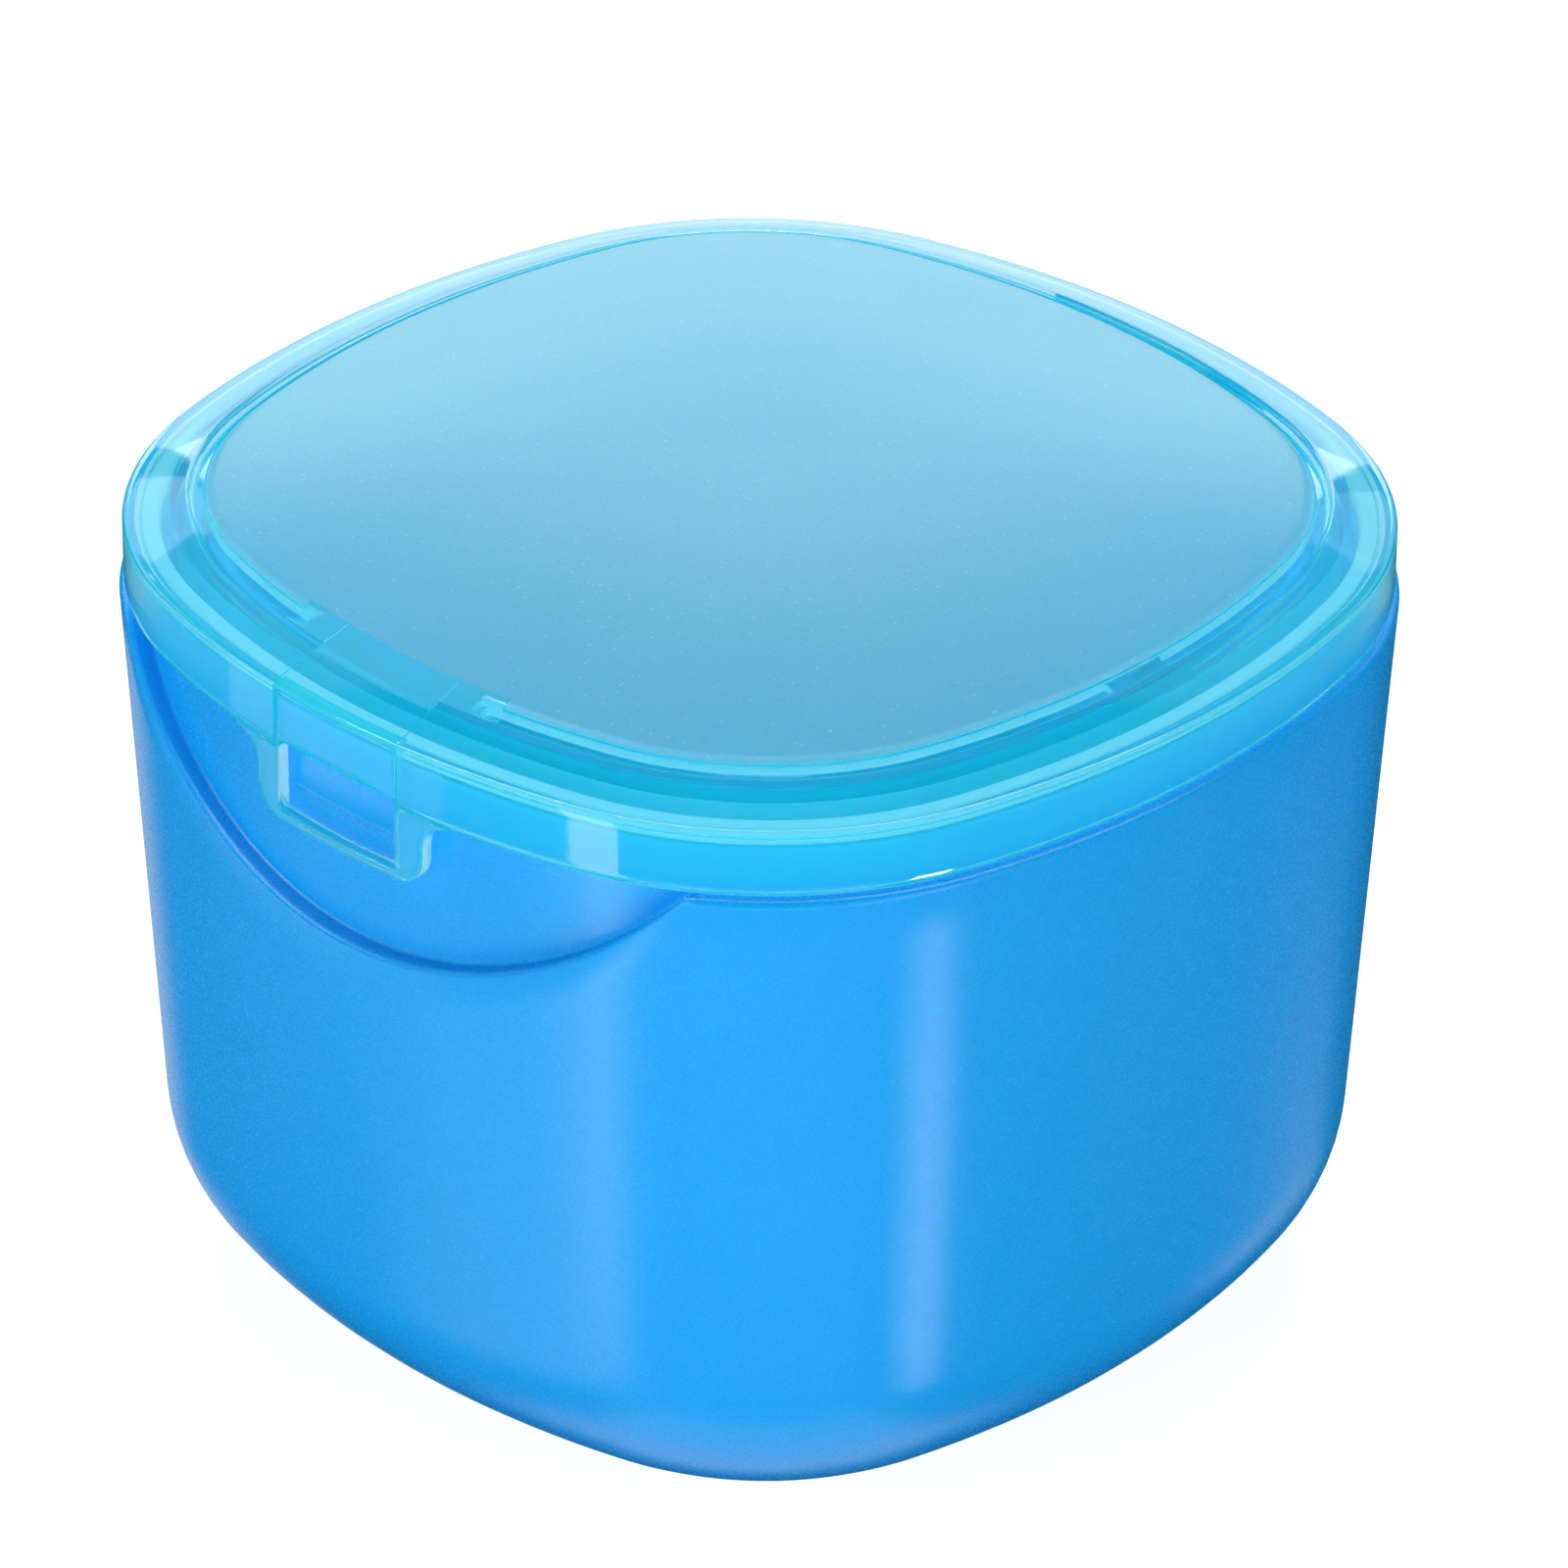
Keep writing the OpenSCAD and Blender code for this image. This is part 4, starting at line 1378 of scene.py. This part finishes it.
@dataclass(frozen=True)
class Handle:
    """The basket's folding handle: a flat half hoop with a boss and a pivot at each end."""

    sizes: CaseSizes
    hoop_in: float = 5.4
    width: float = 3.0
    thick: float = 2.0
    pivot_z: float = 58.0
    pivot_d: float = 2.0
    boss_r: float = 1.5
    pivot_x: float = 41.4
    round_r: float = 0.6
    edge: float = 0.2

    def build(self) -> Object:
        """The handle as one piece."""
        line = self.sizes.outline
        section = round_box((self.hoop_in, self.pivot_z - self.thick / 2),
                            (self.width, self.thick), self.round_r)
        shells = [sweep(line, np.linspace(-math.pi, 0, 121), section)]
        inner = line.half_w - self.hoop_in
        for radius, near, far in ((self.boss_r, inner - self.width, inner),
                                  (self.pivot_d / 2, inner - self.width / 2, self.pivot_x)):
            ring = circle((0, self.pivot_z), radius)[:-1]
            for a, b in ((near, far), (-far, -near)):
                shells.append(plain_bar(ring, a, b, self.edge))
        return make_piece("folding_handle", shells, [Finish.BASKET.value.build()])


# The studio


class Glow(Enum):
    """What a lamp does: it fills with even light, or it draws a sheen on the skins."""

    FILL = "fill"
    SHEEN = "sheen"


@dataclass(frozen=True)
class Lamp:
    """A soft rectangular lamp, in metres and watts, that faces the case.

    Its direction is given round the case, as the camera's. A lamp that draws a sheen
    on the walls stands where they mirror the camera's view, which is below the floor,
    and the floor lets its light by.
    """

    name: str
    azimuth_deg: float
    elevation_deg: float
    width: float
    height: float
    watts: float
    glow: Glow = Glow.SHEEN
    distance: float = 0.9


def heading(azimuth_deg: float, elevation_deg: float) -> Vector:
    """Direction away from the case: azimuth 0 is the front, 90 the right side."""
    a, e = math.radians(azimuth_deg), math.radians(elevation_deg)
    return Vector((math.sin(a) * math.cos(e), -math.cos(a) * math.cos(e), math.sin(e)))


def seen_straight(tree: NodeTree) -> Node:
    """One for the camera's rays and for those that come through clear plastic."""
    ray = add_node(tree, "LightPath")
    return add_node(tree, "Math",
                    {0: ray.outputs["Is Camera Ray"], 1: ray.outputs["Is Transmission Ray"]},
                    operation="MAXIMUM")


@dataclass(frozen=True)
class Studio:
    """Camera, floor and soft lights. Azimuth 0 looks along +Y from the front."""

    azimuth_deg: float = 44.13
    elevation_deg: float = 30.55
    distance_mm: float = 699.0
    lens_mm: float = 208.0
    roll_deg: float = 0.45
    target_right_mm: float = 2.0
    target_z_mm: float = 40.5
    lamps_z_mm: float = 35.0
    world: float = 0.01
    floor_mm: float = 3000.0
    lamps: tuple[Lamp, ...] = (
        Lamp("front_fill", 0, 12, 0.45, 0.45, 5.2, Glow.FILL),
        Lamp("right_fill", 85, 12, 0.45, 0.45, 4.6, Glow.FILL),
        Lamp("left_fill", -60, 30, 0.5, 0.5, 0.6, Glow.FILL),
        Lamp("top_fill", 224, 62, 0.7, 0.7, 8.3, Glow.FILL),
        Lamp("left_sheen", -114, -36, 0.42, 0.24, 0.22),
        Lamp("wide_sheen", -26, -41, 0.34, 0.2, 0.2),
        Lamp("front_sheen", -4, -30, 0.20, 0.31, 0.75),
        Lamp("corner_sheen", 43, -38, 0.9, 0.13, 0.2),
        Lamp("strip_sheen", 93, -37.4, 0.09, 0.07, 0.5),
        Lamp("strip_halo_sheen", 93, -37.4, 0.15, 0.12, 1.1),
        Lamp("edge_sheen", 172, -41, 0.16, 0.2, 0.08),
        Lamp("tab_sheen", -46, -27, 0.5, 0.14, 0.13),
        Lamp("catch_sheen", -42, -9, 0.4, 0.24, 0.5),
        Lamp("under_sheen", 40, -80, 0.9, 0.9, 2.2),
        Lamp("low_back_sheen", 224, -14, 0.65, 0.3, 0.8),
        Lamp("back_sheen", 224, 5, 0.65, 0.3, 1.0),
        Lamp("high_back_sheen", 224, 24, 0.65, 0.3, 2.4),
        Lamp("high_right_sheen", 268, 24, 0.65, 0.3, 0.9),
        Lamp("high_left_sheen", 180, 24, 0.65, 0.3, 0.5),
        Lamp("upper_back_sheen", 224, 45, 0.9, 0.35, 0.3),
        Lamp("high_line_sheen", 44, 89, 2.8, 0.1, 10.0),
        Lamp("low_line_sheen", 44, -12, 2.8, 0.1, 5.0),
    )

    def camera(self) -> None:
        """The camera at the photograph's angle, aimed a little off the axis."""
        a = math.radians(self.azimuth_deg)
        right = Vector((math.cos(a), math.sin(a), 0))
        target = (right * self.target_right_mm + Vector((0, 0, self.target_z_mm))) * MM
        data = bpy.data.cameras.new("camera")
        data.lens, data.sensor_width = self.lens_mm, 36.0
        data.clip_start, data.clip_end = 0.01, 10.0
        camera = bpy.data.objects.new("camera", data)
        bpy.context.scene.collection.objects.link(camera)
        back = heading(self.azimuth_deg, self.elevation_deg)
        camera.location = target + back * self.distance_mm * MM
        camera.rotation_mode = "QUATERNION"
        facing = (-back).to_track_quat("-Z", "Y")
        roll = Quaternion((0, 0, 1), math.radians(self.roll_deg))
        camera.rotation_quaternion = facing @ roll
        bpy.context.scene.camera = camera

    def light(self, lamp: Lamp) -> None:
        """Makes a lamp and turns it to the case."""
        back = heading(lamp.azimuth_deg, lamp.elevation_deg)
        data = bpy.data.lights.new(lamp.name, "AREA")
        data.shape, data.size, data.size_y = "RECTANGLE", lamp.width, lamp.height
        data.energy = lamp.watts
        shown = bpy.data.objects.new(lamp.name, data)
        bpy.context.scene.collection.objects.link(shown)
        shown.location = Vector((0, 0, self.lamps_z_mm * MM)) + back * lamp.distance
        shown.rotation_mode = "QUATERNION"
        shown.rotation_quaternion = (-back).to_track_quat("-Z", "Y")
        shown.visible_diffuse = lamp.glow is Glow.FILL
        shown.visible_glossy = lamp.glow is Glow.SHEEN
        shown.visible_transmission = False

    def light_world(self) -> None:
        """A faint even surround, white where the camera or clear plastic sees it."""
        world = bpy.data.worlds.new("surround")
        bpy.context.scene.world = world
        world.use_nodes = True
        tree = world.node_tree
        tree.nodes.clear()
        plain, white = (add_node(tree, "Background", {"Color": WHITE, "Strength": glow})
                        for glow in (self.world, 1.0))
        surround = mixed(tree, seen_straight(tree), plain, white)
        add_node(tree, "OutputWorld", {"Surface": surround})

    def floor(self) -> None:
        """A plain pale floor that is white to the eye and keeps the soft shadow."""
        half = self.floor_mm / 2
        corners = np.array([[-half, -half, 0], [half, -half, 0], [half, half, 0],
                            [-half, half, 0]], float)
        material, tree = blank_material("paper_matt_white")
        matt, dim = (add_node(tree, "BsdfDiffuse", {"Color": (grey, grey, grey, 1)})
                     for grey in (0.8, 0.32))
        glow = add_node(tree, "Emission", {"Color": WHITE, "Strength": 0.9})
        pale = add_node(tree, "AddShader", {0: dim, 1: glow})
        surfaced(material, mixed(tree, seen_straight(tree), matt, pale))
        floor = make_piece("floor", [Shell(corners, np.array([[0, 1, 2, 3]]))], [material])
        floor.visible_glossy = False

    def build(self) -> None:
        """Sets up the camera, the surround, the floor and the lamps."""
        bpy.context.scene.view_settings.view_transform = "Standard"
        self.camera()
        self.light_world()
        self.floor()
        for lamp in self.lamps:
            self.light(lamp)


def case_sizes() -> CaseSizes:
    """The shared sizes, with the plan's half width read from the lid and its half depth
    from the latch, whose face stands furthest out in front."""
    half_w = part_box("lid")[1][0] / MM
    half_d = -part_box("latch_tab")[0][1] / MM
    return CaseSizes(Outline(round(half_w, 3), round(half_d, 3)))


def main() -> None:
    """Builds the studio and every piece, and ties the pieces to their bodies."""
    logging.basicConfig(level=logging.INFO, format="%(name)s: %(message)s")
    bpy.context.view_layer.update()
    Studio().build()
    sizes = case_sizes()
    makers = (
        (Tub(sizes), "tub", "case_body", "blue_plastic"),
        (Lid(sizes), "lid", "lid", "clear_aqua_plastic"),
        (Latch(sizes), "latch", "latch_tab", "clear_aqua_latch"),
        (Seal(sizes), "lid", "lid_seal", "silicone"),
        (HingePin(sizes), "tub", "hinge_pin", "pin_steel"),
        (Basket(sizes), "basket", "strainer_basket", "basket_plastic"),
        (Handle(sizes), "handle", "basket_handle", "handle_plastic"),
    )
    for maker, body, node, slot in makers:
        piece = maker.build()
        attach(piece, body)
        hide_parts(node)


if __name__ == "__main__":
    main()
